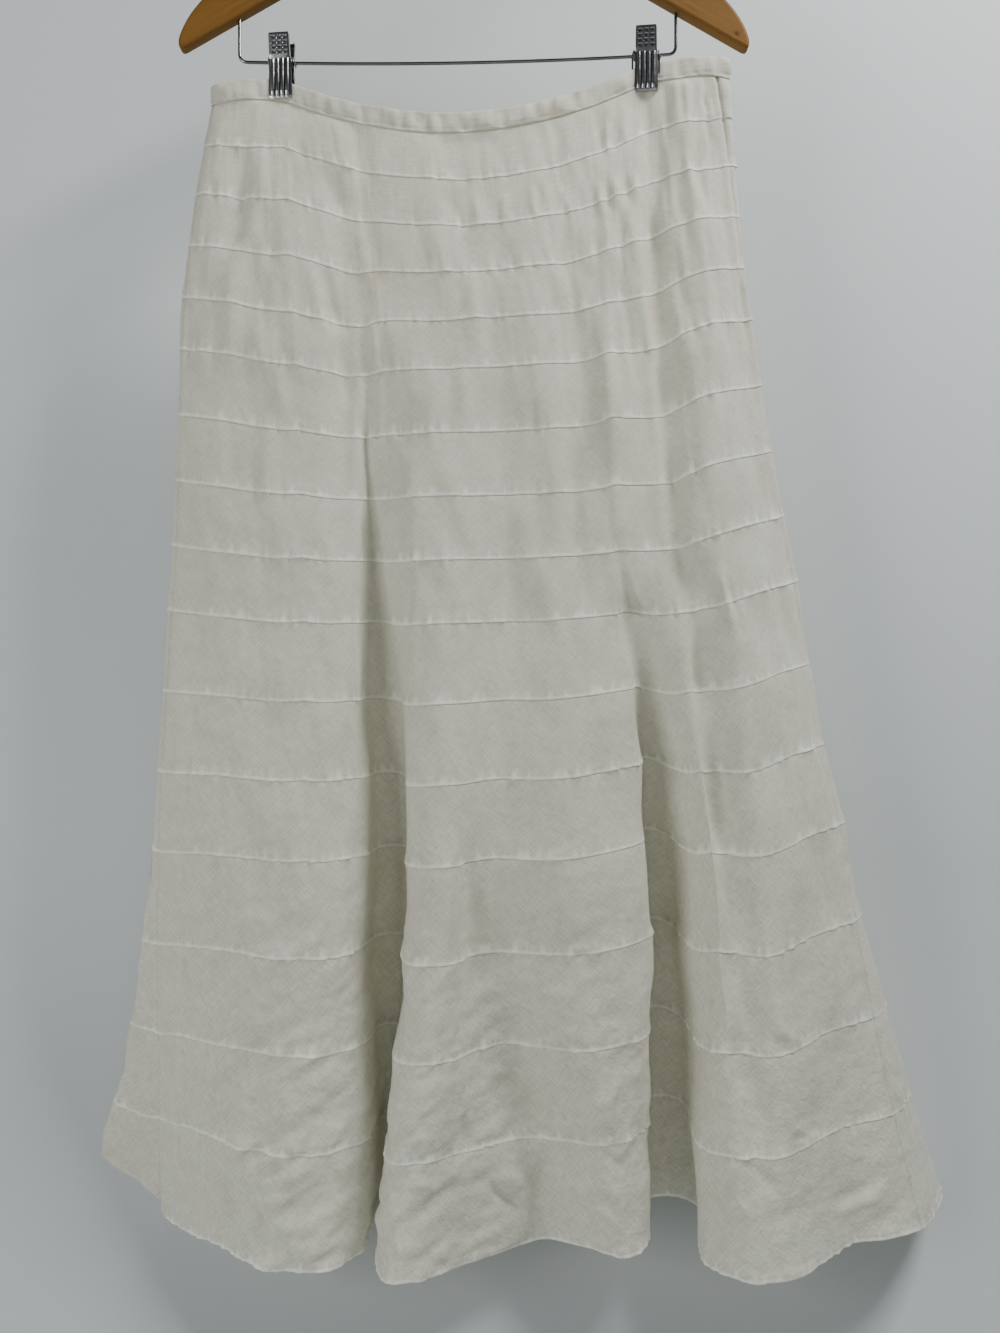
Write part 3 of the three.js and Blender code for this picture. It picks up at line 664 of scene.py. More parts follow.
class Finish:
    """A node material under construction."""

    def __init__(self, name):
        self.material = bpy.data.materials.new(name)
        self.material.use_nodes = True
        self.tree = self.material.node_tree
        self.tree.nodes.clear()

    def node(self, kind, settings=None, output=0, **sockets):
        """Adds a node: its settings first, then the values or links of its sockets, by name or number."""
        node = self.tree.nodes.new(kind)
        for key, value in (settings or {}).items():
            setattr(node, key, value)
        for key, value in sockets.items():
            place = int(key[1:]) if key[0] == "_" else key.replace("_", " ")
            join(self.tree, value, node.inputs[place])
        return Signal(self.tree, node.outputs[output])

    def attribute(self, name):
        return self.node("ShaderNodeAttribute", {"attribute_name": name}, output="Fac")

    def parts(self, vector):
        split = self.node("ShaderNodeSeparateXYZ", _0=vector).socket.node
        return [Signal(self.tree, socket) for socket in split.outputs]

    def vector(self, x, y, z=0.0):
        return self.node("ShaderNodeCombineXYZ", _0=x, _1=y, _2=z)

    def noise(self, vector, scale=1.0, detail=2.0, roughness=0.5):
        return self.node(
            "ShaderNodeTexNoise", Vector=vector, Scale=scale, Detail=detail, Roughness=roughness
        )

    def blend(self, factor, first, second):
        """Mixes two colours."""
        colours = {"data_type": "RGBA"}
        return self.node("ShaderNodeMix", colours, output=2, _0=factor, _6=first, _7=second)

    def place(self):
        """The object's own coordinates, in metres."""
        return self.node("ShaderNodeTexCoord", output="Object")

    def bump(self, height, distance, strength=1.0):
        return self.node("ShaderNodeBump", Height=height, Distance=distance, Strength=strength)

    def surface(self, colour, roughness, normal, **values):
        """A Principled shader; values are its other sockets, by name."""
        sockets = {"Base_Color": colour, "Roughness": roughness, "Normal": normal}
        return self.node("ShaderNodeBsdfPrincipled", **sockets, **values)

    def ends_in(self, shader):
        """Ends the tree in a shader, and returns the material."""
        end = self.tree.nodes.new("ShaderNodeOutputMaterial")
        join(self.tree, shader, end.inputs["Surface"])
        return self.material


# ---- Finishes ----

THREAD = 0.00062  # from one thread of the linen to the next, in metres
THROUGH = 0.24  # the share of light that thin linen lets through
STITCH = 0.0026  # length of one stitch, in metres


def opaque(colour, tone=1.0):
    """A colour with its alpha, darkened by tone."""
    return tuple(value * tone for value in colour) + (1,)


def linen_finish(name, look, grain_turn, streak, stitched=False):
    """Plain-woven linen: slubby threads in two directions, faint stains partly painted as shade, painted
    highlights on the seams' lips and puckers, and painted shade along the seam lines.
    """
    f = Finish(name)
    sheet_map = f.node("ShaderNodeUVMap", {"uv_map": "cloth"})
    turned = f.node("ShaderNodeMapping", Vector=sheet_map, Rotation=Vector((0, 0, grain_turn)))
    x, y, _ = f.parts(turned)
    along_seam, down, _ = f.parts(sheet_map)
    warp_slub = f.noise(f.vector(x / (THREAD * 2.2), y / 0.012), detail=3.0)
    weft_slub = f.noise(f.vector(x / 0.011, y / (THREAD * 2.2), 4.0), detail=3.0)
    streaks = f.noise(f.vector(x / 0.006, y / 0.07, 9.0), detail=2.0)
    threads = (x * (2 * math.pi / THREAD)).sine() * (y * (2 * math.pi / THREAD)).sine()
    place = f.place()
    px, py, pz = f.parts(place)
    mottle = f.noise(place, scale=75.0, detail=3.0, roughness=0.6)
    lower = pz.step(-0.55, -1.0)
    tint = f.noise(f.vector(px, py, pz + 3.0), scale=17.0, detail=2.0)
    from_edge = f.attribute("from_edge")
    from_top = f.attribute("from_top")
    from_side = f.attribute("from_side")
    drawn = f.noise(f.vector(along_seam / 0.006, down / 0.04, 2.0), detail=2.0)
    # Painted highlight: the cloth just above each seam, and tufts along it, are lightened as if the seam's
    # lip and puckers caught light from above.
    pucker_highlight = drawn.step(0.5, 0.64) * from_edge.step(10.0, 1.5)
    lip_highlight = (from_edge.step(3.6, 1.3) * (0.4 + drawn * 0.9) + pucker_highlight * 0.9) * from_edge.step(-0.1, 0.5)
    # Painted shade in the groove just under each seam and along the side seams.
    seam_shade = from_top.bell(0.1, 0.5) + from_side.bell(0.0, 0.6) * 0.5
    shade = (warp_slub - 0.5) * look.slub + (weft_slub - 0.5) * look.slub + (streaks - 0.5) * streak
    shade = shade * (lower * 0.6 + 1.0) + (mottle - 0.5) * 0.9 + threads * 0.02
    light = (0.5 + shade).clamped()
    pale = opaque(look.cloth_pale)
    colour = f.blend(light, opaque(look.cloth_dark), pale)
    if not stitched:
        # Lightens the seam lips and tufts: a painted highlight.
        colour = f.blend(lip_highlight.clamped(), colour, (1.0, 0.99, 0.91, 1))
    colour = f.blend((tint.step(0.5, 0.72) * 0.16).clamped(), colour, (0.66, 0.56, 0.44, 1))
    front = py.step(0.03, -0.002)
    # Faint brown marks on the front: some are stains, some painted shade along folds and creases.
    stains_and_shade = 0.0
    for mark_x, mark_z, wide, high, strength in STAINS_AND_SHADE:
        stains_and_shade = px.bell(mark_x * MM, wide * MM) * pz.bell(mark_z * MM, high * MM) * strength + stains_and_shade
    colour = f.blend((stains_and_shade * front).clamped(), colour, (0.72, 0.56, 0.42, 1))
    # Darkens the seam lines: painted shade.
    colour = f.blend((seam_shade * 0.03).clamped(), colour, (0.3, 0.27, 0.22, 1))
    height = threads * 0.12 + warp_slub * 0.5 + weft_slub * 0.5
    if stitched:
        # The band's rolled foot is lightened: a painted highlight.
        colour = f.blend(from_edge.step(4.5, 2.0) * 0.3, colour, pale)
        stitch = ((x / STITCH) * (2 * math.pi)).sine().step(-0.5, 0.2) * from_edge.bell(STITCH_HEIGHT, 0.35)
        height = height - stitch * 1.2
        # Darkens the stitch line: painted shade in the stitches' dip.
        colour = f.blend((stitch * 0.25).clamped(), colour, (0.5, 0.47, 0.42, 1))
    woven = f.bump(height, 0.00025, 0.65)
    crumple = f.noise(f.vector(px, py, pz * 1.9), scale=95.0, detail=3.0, roughness=0.6)
    deeper = pz.step(-0.9, -1.06) * 0.9 + lower * 0.2 + 0.5
    normal = f.node("ShaderNodeBump", Height=crumple * deeper, Distance=0.0012, Strength=0.55, Normal=woven)
    face = f.surface(colour, 0.92 - light * 0.06, normal, Sheen_Weight=0.12, Sheen_Roughness=0.5)
    through = f.node("ShaderNodeBsdfTranslucent", Color=colour, Normal=normal)
    return f.ends_in(f.node("ShaderNodeMixShader", _0=THROUGH, _1=face, _2=through))


def wood_finish(look):
    """Varnished wood, taken as beech: grain along the arms, pores, and a dark plug near the right tip."""
    f = Finish("beech")
    px, py, pz = f.parts(f.place())
    arm = px.absolute()
    along = arm * 0.87 - pz * 0.5
    across = arm * 0.5 + pz * 0.87
    grain = f.noise(f.vector(along * 9.0, across * 150.0, py * 90.0), detail=5.0, roughness=0.6)
    bands = f.noise(f.vector(along * 4.0, across * 34.0, py * 24.0), detail=2.0)
    pores = f.noise(f.vector(along * 60.0, across * 900.0, py * 600.0), detail=2.0)
    tone = (grain * 0.55 + bands * 0.5 - pores.step(0.6, 0.75) * 0.25).clamped()
    colour = f.blend(tone, opaque(look.wood_dark), opaque(look.wood_pale))
    plug_x, plug_z = look.plug
    plug = px.bell(plug_x, 0.0021) * pz.bell(plug_z, 0.0021) * py.step(0.0, -0.004)
    colour = f.blend((plug * 0.9).clamped(), colour, (0.09, 0.035, 0.01, 1))
    normal = f.bump(grain * 0.5 - pores * 0.3 - plug * 2.0, 0.0004, 0.5)
    varnish = {"Coat_Weight": 0.02, "Coat_Roughness": 0.3, "Specular_IOR_Level": 0.14}
    return f.ends_in(f.surface(colour, 0.5 + grain * 0.16, normal, **varnish))


def chrome_finish(name, look, tone, grit):
    """Plated steel, a little dulled by handling."""
    f = Finish(name)
    place = f.place()
    worn = f.noise(place, scale=260.0, detail=3.0)
    smear = f.noise(place, scale=60.0, detail=2.0)
    dulled = (smear.step(0.42, 0.75) * 0.7).clamped()
    colour = f.blend(dulled, opaque(look.chrome, tone), opaque(look.chrome, tone * 0.62))
    return f.ends_in(f.surface(colour, grit + worn * 0.16, f.bump(worn, 0.00012, 0.35), Metallic=1.0))


def tape_finish():
    """The zip's woven tape."""
    f = Finish("zip_tape")
    place = f.place()
    _, _, pz = f.parts(place)
    ribs = (pz * (2 * math.pi / 0.0011)).sine()
    fuzz = f.noise(place, scale=900.0, detail=2.0)
    raised = (0.5 + ribs * 0.15 + (fuzz - 0.5) * 0.5).clamped()
    colour = f.blend(raised, (0.62, 0.6, 0.55, 1), (0.8, 0.79, 0.74, 1))
    return f.ends_in(f.surface(colour, 0.85, f.bump(ribs * 0.5 + fuzz, 0.0002, 0.6)))


def backdrop_finish(look):
    """Pale wall and floor paint, with painted shade to the left and towards the floor, seen from the room's
    side only.
    """
    f = Finish("backdrop")
    place = f.place()
    px, _, pz = f.parts(place)
    tone = f.noise(place, scale=1.1, detail=2.0)
    # Painted shade: the wall is darker to the left, as if lit from the right, besides its random tone.
    right = px.step(-0.5, 0.5)
    tone_and_left_shade = (tone * 0.3 + (1.0 - right) * 0.3).clamped()
    colour = f.blend(tone_and_left_shade, opaque(look.wall), opaque(look.wall, 0.86))
    # Painted shade: darker towards the bottom of the wall and over the floor.
    colour = f.blend(pz.step(-0.8, -1.3) * 0.7, colour, opaque(look.wall, 0.6))
    grain = f.noise(place, scale=420.0, detail=2.0)
    paint = f.surface(colour, 0.8, f.bump(grain, 0.0004, 0.2))
    behind = f.node("ShaderNodeNewGeometry", output="Backfacing")
    clear = f.node("ShaderNodeBsdfTransparent")
    return f.ends_in(f.node("ShaderNodeMixShader", _0=behind, _1=paint, _2=clear))


# ---- Modelling helpers ----


def select_only(piece):
    """Selects one piece, and makes it the active one."""
    bpy.ops.object.select_all(action="DESELECT")
    piece.select_set(True)
    bpy.context.view_layer.objects.active = piece


def add_alone(adder, **values):
    """Adds a primitive with nothing else selected, and returns its object."""
    bpy.ops.object.select_all(action="DESELECT")
    adder(**values)
    return bpy.context.object


def finish_piece(piece, name, material, smooth_angle=math.radians(40)):
    """Names a made piece, puts its place into its mesh and gives it its finish."""
    select_only(piece)
    if piece.type != "MESH":
        bpy.ops.object.convert(target="MESH")
        piece = bpy.context.object
    bpy.ops.object.transform_apply(location=True, rotation=True, scale=True)
    for modifier in list(piece.modifiers):
        bpy.ops.object.modifier_apply(modifier=modifier.name)
    bpy.ops.object.shade_smooth_by_angle(angle=smooth_angle)
    piece.name = name
    piece.data.name = name
    if not piece.data.materials:
        piece.data.materials.append(material)
    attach(piece, BODY)
    return piece


def strip(rows):
    """A sheet pulled out row by row: each row's y, z and half width across X. Ends in edit mode."""
    y, z, half = rows[0]
    piece = add_alone(bpy.ops.mesh.primitive_plane_add, size=2 * half)
    select_in(piece, "VERT", lambda vertex: vertex.co.y > 0)
    bpy.ops.mesh.delete(type="VERT")
    bpy.ops.mesh.select_all(action="SELECT")
    bpy.ops.transform.translate(value=(0, y + half, z))
    for next_y, next_z, next_half in rows[1:]:
        bpy.ops.mesh.extrude_region_move(TRANSFORM_OT_translate={"value": (0, next_y - y, next_z - z)})
        bpy.ops.transform.resize(value=(next_half / half, 1, 1), center_override=(0, 0, 0))
        y, z, half = next_y, next_z, next_half
    return piece


def select_in(piece, kind, wanted):
    """In edit mode, selects the vertices, edges or faces that the test wants, and nothing else."""
    if piece.mode == "EDIT":
        bpy.ops.object.mode_set(mode="OBJECT")
    mesh = piece.data
    bpy.ops.object.mode_set(mode="EDIT")
    bpy.ops.mesh.select_mode(type=kind)
    bpy.ops.mesh.select_all(action="DESELECT")
    bpy.ops.object.mode_set(mode="OBJECT")
    items = {"VERT": mesh.vertices, "EDGE": mesh.edges, "FACE": mesh.polygons}[kind]
    for item in items:
        item.select = wanted(item)
    bpy.ops.object.mode_set(mode="EDIT")


def cut(piece, wanted, place, normal):
    """Cuts the wanted faces by a plane."""
    select_in(piece, "FACE", wanted)
    bpy.ops.mesh.bisect(plane_co=place, plane_no=normal)


def wire(name, points, diameter, material, roundness=5):
    """A round wire along points, in millimetres."""
    piece = add_alone(bpy.ops.curve.primitive_nurbs_path_add)
    data = piece.data
    data.splines.clear()
    spline = data.splines.new("POLY")
    spline.points.add(len(points) - 1)
    for point, (x, y, z) in zip(spline.points, points):
        point.co = (x * MM, y * MM, z * MM, 1)
    data.dimensions = "3D"
    data.bevel_depth = diameter / 2 * MM
    data.bevel_resolution = roundness
    data.use_fill_caps = True
    return finish_piece(piece, name, material, math.radians(60))


def quadratic(start, middle, end, steps):
    """Points of a quadratic curve after its start."""
    found = []
    for i in range(1, steps + 1):
        t = i / steps
        weights = ((1 - t) ** 2, 2 * t * (1 - t), t * t)
        found.append(tuple(sum(w * at for w, at in zip(weights, axis)) for axis in zip(start, middle, end)))
    return found


# ---- The hanger, in millimetres ----

WOOD = {"half": 220, "tip_z": -223, "thick": 12, "bevel": 2.6, "arm": 33, "arch_x": 60, "slope": 0.57}
NECK = {"half": 14, "top_z": -66, "under_z": -118}
HOOK = {"wire": 3.4, "inner": 20, "sink": 16}
BAR = {"wire": 2.6, "left_x": -175, "right_x": 165, "left_z": -232, "right_z": -226}
BAR |= {"bow": 7, "corner": 7, "sink": 11}
COIL = {"wire": 1.5, "radius": 3.35, "length": 20.6, "turns": 13, "steps": 12, "arm": 15}

# A clip's front jaw, in the middle of its plate: y from the hanger's plane, z from the bar, half width.
JAW_ROWS = (
    (-9.4, 18.8, 7.4),
    (-9.1, 17.7, 7.7),
    (-6.6, 3.4, 7.9),
    (-5.5, 0.8, 8.0),
    (-5.2, -4.0, 8.2),
    (-5.0, -12.0, 8.4),
    (-4.9, -24.5, 8.7),
    (-4.4, -27.0, 8.6),
    (-3.8, -28.4, 8.4),
)
JAW = {"plate": 0.9, "flange": 2.3, "rim": 0.22, "lip_back": 1.2, "lip_down": 0.3}
TEETH = {"places": (-7.8, -3.8, 0, 3.8, 7.8), "half": 1.2, "deep": 0.9}
CLIP_TURN = math.radians(-7)
RIB = {"half": 1.05, "pitch": 3.8, "top": 0.2, "foot": -27.2, "proud": 0.95, "count": 4}
DIMPLE = {"wide": 3.9, "high": 2.5, "across": 4.7, "pitch": 3.5, "first": 15.9, "deep": 0.9, "rows": 4}
DIMPLE |= {"columns": 3, "rim": 0.5}


def underside(x):
    """Height of the wood's straight lower edge."""
    return WOOD["tip_z"] + (WOOD["half"] - 3 - abs(x)) * WOOD["slope"]


def bar_height(x):
    """Height of the bar's centre at a clip."""
    first, last = BAR["left_x"] + BAR["corner"], BAR["right_x"] - BAR["corner"]
    share = (x - first) / (last - first)
    return BAR["left_z"] * (1 - share) + BAR["right_z"] * share - BAR["bow"] * 2 * share * (1 - share)


def wood_outline():
    """The wood's right half in profile from the middle of its arch, then its mirror image."""
    end, tip, arch_x = WOOD["half"], WOOD["tip_z"], WOOD["arch_x"]
    arch_z = underside(arch_x)
    neck_x, neck_z = NECK["half"], NECK["top_z"]
    right = [(0, NECK["under_z"])]
    right += quadratic(right[-1], (34, NECK["under_z"]), (arch_x, arch_z), 12)
    right.append((end - 4, tip + 0.5))
    right += quadratic(right[-1], (end + 2.5, tip - 3), (end + 1.5, tip + 7), 10)
    right += quadratic(right[-1], (end - 3, tip + 24), (end - 20, tip + 41), 10)
    right += quadratic(right[-1], (150, -145), (arch_x, arch_z + WOOD["arm"]), 16)
    right += quadratic(right[-1], (26, neck_z - 14), (neck_x, neck_z), 12)
    return right + [(-x, z) for x, z in reversed(right[1:])]


def make_wood(material):
    """The hanger's body: a flat outline filled, thickened and rounded along its edges."""
    piece = add_alone(bpy.ops.curve.primitive_bezier_curve_add, rotation=(math.pi / 2, 0, 0))
    data = piece.data
    data.dimensions = "2D"
    data.fill_mode = "BOTH"
    data.splines.clear()
    outline = wood_outline()
    spline = data.splines.new("POLY")
    spline.points.add(len(outline) - 1)
    for point, (x, z) in zip(spline.points, outline):
        point.co = (x * MM, z * MM, 0, 1)
    spline.use_cyclic_u = True
    data.extrude = (WOOD["thick"] / 2 - WOOD["bevel"]) * MM
    data.bevel_depth = WOOD["bevel"] * MM
    data.bevel_resolution = 4
    data.offset = -WOOD["bevel"] * MM
    return finish_piece(piece, "wooden_hanger", material, math.radians(35))


def hook_route():
    """The hook's wire: up out of the neck, aside and over the rail."""
    radius = HOOK["inner"] + HOOK["wire"] / 2
    middle = -HOOK["inner"]
    neck = NECK["top_z"]
    knots = [(0, neck - HOOK["sink"]), (0, neck), (2, middle - radius - 9)]
    for degrees in range(-48, 197, 12):
        angle = math.radians(degrees)
        knots.append((radius * math.cos(angle), middle + radius * math.sin(angle)))
    knots = np.array(knots, float)
    padded = np.vstack([2 * knots[0] - knots[1], knots, 2 * knots[-1] - knots[-2]])
    route = []
    for i in range(1, len(padded) - 2):
        for t in np.linspace(0, 1, 6, endpoint=False):
            x, z = smooth_value(*padded[i - 1 : i + 3], t)
            route.append((x, 0, z))
    route.append((padded[-2][0], 0, padded[-2][1]))
    return route


def bar_route():
    """The bar's wire: down from the left arm, along with a slight bow, and up into the right arm."""
    left, right, low_left, low_right = BAR["left_x"], BAR["right_x"], BAR["left_z"], BAR["right_z"]
    corner, sink = BAR["corner"], BAR["sink"]
    route = [(left, 0, underside(left) + sink), (left, 0, low_left + corner)]
    route += quadratic(route[-1], (left, 0, low_left), (left + corner, 0, low_left), 8)
    middle = ((left + right) / 2, 0, (low_left + low_right) / 2 - BAR["bow"])
    route += quadratic(route[-1], middle, (right - corner, 0, low_right), 40)
    route += quadratic(route[-1], (right, 0, low_right), (right, 0, low_right + corner), 8)
    route.append((right, 0, underside(right) + sink))
    return route


def rib_centres():
    """Middles of the jaw's ribs across it."""
    return [RIB["pitch"] * (i - (RIB["count"] - 1) / 2) * MM for i in range(RIB["count"])]


def dimple_centres():
    """Middles of the finger pad's dimples: x and height."""
    columns = [DIMPLE["across"] * (i - 1) * MM for i in range(DIMPLE["columns"])]
    rows = [(DIMPLE["first"] - DIMPLE["pitch"] * i) * MM for i in range(DIMPLE["rows"])]
    return [(x, z) for x in columns for z in rows]


def make_jaw(plated, hollow_shade):
    """One front jaw at the origin: a stamped plate with a dimpled pad, four ribs and a toothed foot; its
    dimple floors and rib grooves get a darker copy of the plating, painted shade.
    """
    piece = strip([tuple(value * MM for value in row) for row in JAW_ROWS])
    pad_foot = JAW_ROWS[2][1] * MM
    rib_top, rib_foot = RIB["top"] * MM, RIB["foot"] * MM
    half = RIB["half"] * MM
    for x in rib_centres():
        for side in (-half, half):
            cut(piece, lambda face: face.center.z < pad_foot, (x + side, 0, 0), (1, 0, 0))
    for z in (rib_top, rib_foot):
        cut(piece, lambda face: face.center.z < pad_foot, (0, 0, z), (0, 0, 1))
    wide, high = DIMPLE["wide"] / 2 * MM, DIMPLE["high"] / 2 * MM
    for x in sorted({x for x, _ in dimple_centres()}):
        for side in (-wide, wide):
            cut(piece, lambda face: face.center.z > pad_foot, (x + side, 0, 0), (1, 0, 0))
    for z in sorted({z for _, z in dimple_centres()}):
        for side in (-high, high):
            cut(piece, lambda face: face.center.z > pad_foot, (0, 0, z + side), (0, 0, 1))
    select_in(piece, "FACE", lambda face: face.normal.y > 0)
    bpy.ops.mesh.flip_normals()
    press_ribs(piece, rib_top, rib_foot)
    press_dimples(piece)
    bpy.ops.object.mode_set(mode="OBJECT")
    piece.data.materials.append(plated)
    piece.data.materials.append(hollow_shade)
    ribbed = (RIB["count"] + 1) / 2 * RIB["pitch"] * MM
    for face in piece.data.polygons:
        x, z = face.center.x, face.center.z
        between = rib_foot < z < rib_top and all(abs(x - rib) > half for rib in rib_centres())
        # Dimple floors and the grooves between ribs take the darker finish: painted shade in the hollows.
        face.material_index = int(face.select or (between and abs(x) < ribbed))
    fold_edges(piece)
    bpy.ops.object.mode_set(mode="OBJECT")
    plate = piece.modifiers.new("plate", "SOLIDIFY")
    plate.thickness = JAW["plate"] * MM
    plate.offset = 0
    rim = piece.modifiers.new("rim", "BEVEL")
    rim.width = JAW["rim"] * MM
    rim.segments = 2
    rim.angle_limit = math.radians(35)
    return finish_piece(piece, "clip_left_front", plated, math.radians(35))


def press_ribs(piece, top, foot):
    """Four upright ribs with softened crests, on the jaw below the bar."""
    half = RIB["half"] * MM

    def in_rib(face):
        return foot < face.center.z < top and any(abs(face.center.x - x) < half for x in rib_centres())

    select_in(piece, "FACE", in_rib)
    bpy.ops.mesh.extrude_region_move(TRANSFORM_OT_translate={"value": (0, -RIB["proud"] * MM, 0)})
    bpy.ops.mesh.inset(thickness=half * 0.45, depth=half * 0.3)


def press_dimples(piece):
    """Rows of square dimples in the finger pad."""
    near = DIMPLE["high"] / 4 * MM

    def in_dimple(face):
        at = face.center
        return any(abs(at.x - x) < near and abs(at.z - z) < near for x, z in dimple_centres())

    select_in(piece, "FACE", in_dimple)
    bpy.ops.mesh.inset(thickness=DIMPLE["rim"] * MM, depth=-DIMPLE["deep"] * MM, use_individual=True)


def fold_edges(piece):
    """Side flanges and a top lip folded back towards the hanger's plane, and teeth cut into the foot."""
    side_x = 7.33 * MM
    top_z, foot_z = (JAW_ROWS[0][1] - 0.05) * MM, (JAW_ROWS[-1][1] + 0.2) * MM
    mesh = piece.data

    def on_side(edge):
        first, second = [mesh.vertices[i].co for i in edge.vertices]
        return min(abs(first.x), abs(second.x)) > side_x and abs(first.z - second.z) > 0.05 * MM

    def on_top(edge):
        return all(mesh.vertices[i].co.z > top_z for i in edge.vertices)

    def at_tooth(vertex):
        x, half = vertex.co.x, TEETH["half"] * MM
        return vertex.co.z < foot_z and any(abs(x - place * MM) < half for place in TEETH["places"])

    select_in(piece, "EDGE", on_side)
    bpy.ops.mesh.extrude_region_move(TRANSFORM_OT_translate={"value": (0, JAW["flange"] * MM, 0)})
    select_in(piece, "EDGE", on_top)
    lip = (0, JAW["lip_back"] * MM, -JAW["lip_down"] * MM)
    bpy.ops.mesh.extrude_region_move(TRANSFORM_OT_translate={"value": lip})
    select_in(piece, "VERT", at_tooth)
    bpy.ops.transform.translate(value=(0, 0, -TEETH["deep"] * MM))


def copy_piece(piece, name, scale_y=1):
    """A copy with its own mesh, turned back to front where scale_y is -1."""
    twin = piece.copy()
    twin.data = piece.data.copy()
    bpy.context.scene.collection.objects.link(twin)
    twin.scale.y = scale_y
    select_only(twin)
    bpy.ops.object.transform_apply(location=False, rotation=False, scale=True)
    bpy.ops.object.mode_set(mode="EDIT")
    bpy.ops.mesh.select_all(action="SELECT")
    bpy.ops.mesh.normals_make_consistent(inside=False)
    bpy.ops.object.mode_set(mode="OBJECT")
    twin.name = name
    twin.data.name = name
    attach(twin, BODY)
    return twin


def move_clip(piece, x, z):
    """Moves a clip's jaw, in millimetres, turns it as it hangs and puts its place into its mesh."""
    select_only(piece)
    piece.location = (x * MM, 0, z * MM)
    piece.rotation_euler.z = CLIP_TURN
    bpy.ops.object.transform_apply(location=True, rotation=True, scale=False)


def coil_route(x, z):
    """The spring round the bar, with an arm down behind each jaw's edge."""
    half, radius, arm = COIL["length"] / 2, COIL["radius"], COIL["arm"]
    steps = COIL["turns"] * COIL["steps"]
    route = [(x - half + 0.6, 3.9, z - arm), (x - half + 0.1, 4.6, z - arm / 2)]
    for i in range(steps + 1):
        angle = 2 * math.pi * i / COIL["steps"]
        along = x - half + COIL["length"] * i / steps
        route.append((along, radius * math.cos(angle), z + radius * math.sin(angle)))
    route.append((x + half + 0.2, -radius, z - 1.5))
    route += [(x + half - 0.1, -4.6, z - arm / 2), (x + half - 0.6, -3.9, z - arm)]
    return route


# ---- Properties ----


def colour_property(name, description, default):
    """A colour that a user may change."""
    kind = {"subtype": "COLOR", "size": 3, "min": 0, "max": 1}
    return bpy.props.FloatVectorProperty(name=name, description=description, default=default, **kind)


class SkirtLook(bpy.types.PropertyGroup):
    """Colours and surface of the skirt and its hanger."""

    cloth_pale: colour_property("Linen, pale", "Colour of the linen's raised threads", (0.835, 0.824, 0.715))
    cloth_dark: colour_property("Linen, dark", "Colour between the linen's threads", (0.66, 0.648, 0.54))
    slub: bpy.props.FloatProperty(
        name="Slub", description="How uneven the linen's threads are", default=1.35, min=0, max=3,
    )
    wood_pale: colour_property("Wood, pale", "Colour of the hanger's pale grain", (0.27, 0.135, 0.03))
    wood_dark: colour_property("Wood, dark", "Colour of the hanger's dark grain", (0.075, 0.03, 0.006))
    plug: bpy.props.FloatVectorProperty(
        name="Plug", description="Middle of the dark plug near the hanger's right tip", subtype="XYZ",
        unit="LENGTH", size=2, default=(0.211, -0.2135),
    )
    chrome: colour_property("Chrome", "Colour of the plated steel", (0.62, 0.62, 0.63))
    wall: colour_property("Wall", "Colour of the wall and the floor", (0.64, 0.68, 0.69))


class SkirtSizes(bpy.types.PropertyGroup):
    """Fineness of the sheets and the places of the studio."""

    front_step: bpy.props.FloatProperty(
        name="Front step", description="Width of one cell of the front's mesh, in millimetres",
        default=1.45, min=0.8, max=10,
    )
    back_step: bpy.props.FloatProperty(
        name="Back step", description="Width of one cell of the back's mesh, in millimetres",
        default=1.9, min=0.8, max=10,
    )
    wall_gap: bpy.props.FloatProperty(
        name="Wall gap", description="From the cloth's rearmost fold to the wall", unit="LENGTH",
        default=0.014, min=0.003, max=1,
    )
    floor_drop: bpy.props.FloatProperty(
        name="Floor drop", description="From the hem down to the floor", unit="LENGTH",
        default=0.32, min=0.02, max=2,
    )
    eye_distance: bpy.props.FloatProperty(
        name="Eye distance", description="From the hanger to the camera", unit="LENGTH",
        default=0.9, min=0.2, max=5,
    )
    eye_place: bpy.props.FloatVectorProperty(
        name="Eye place", description="The camera's place across and up", subtype="XYZ", unit="LENGTH",
        size=2, default=(0.028, -0.7031),
    )


def look():
    return bpy.context.scene.skirt_look


def sizes():
    return bpy.context.scene.skirt_sizes


# ---- Operators ----


class SKIRT_OT_tiers(bpy.types.Operator):
    """Make the sixteen tiers, front and back."""

    bl_idname = "skirt.tiers"
    bl_label = "Tiers"

    def execute(self, context):
        straight = linen_finish("linen_straight", look(), 0.0, 0.35)
        bias = linen_finish("linen_bias", look(), math.radians(45), 0.15)
        for side, step in (("front", sizes().front_step), ("back", sizes().back_step)):
            for tier in range(TIERS):
                tier_sheet(side, tier, step, straight if tier < STRAIGHT_TIERS else bias)
        return {"FINISHED"}


class SKIRT_OT_waistband(bpy.types.Operator):
    """Make the waistband, front and back."""

    bl_idname = "skirt.waistband"
    bl_label = "Waistband"

    def execute(self, context):
        material = linen_finish("linen_waistband", look(), 0.0, 0.3, stitched=True)
        for side in SIDES:
            waistband_sheet(side, material)
        return {"FINISHED"}


class SKIRT_OT_hanger(bpy.types.Operator):
    """Make the hanger's wood, hook and bar."""

    bl_idname = "skirt.hanger"
    bl_label = "Hanger"

    def execute(self, context):
        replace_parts(make_wood(wood_finish(look())), "hanger_wood")
        chrome = chrome_finish("chrome_wire", look(), 0.36, 0.14)
        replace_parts(wire("hook_wire", hook_route(), HOOK["wire"], chrome), "hanger_hook")
        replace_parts(wire("bar_wire", bar_route(), BAR["wire"], chrome), "hanger_bar")
        return {"FINISHED"}


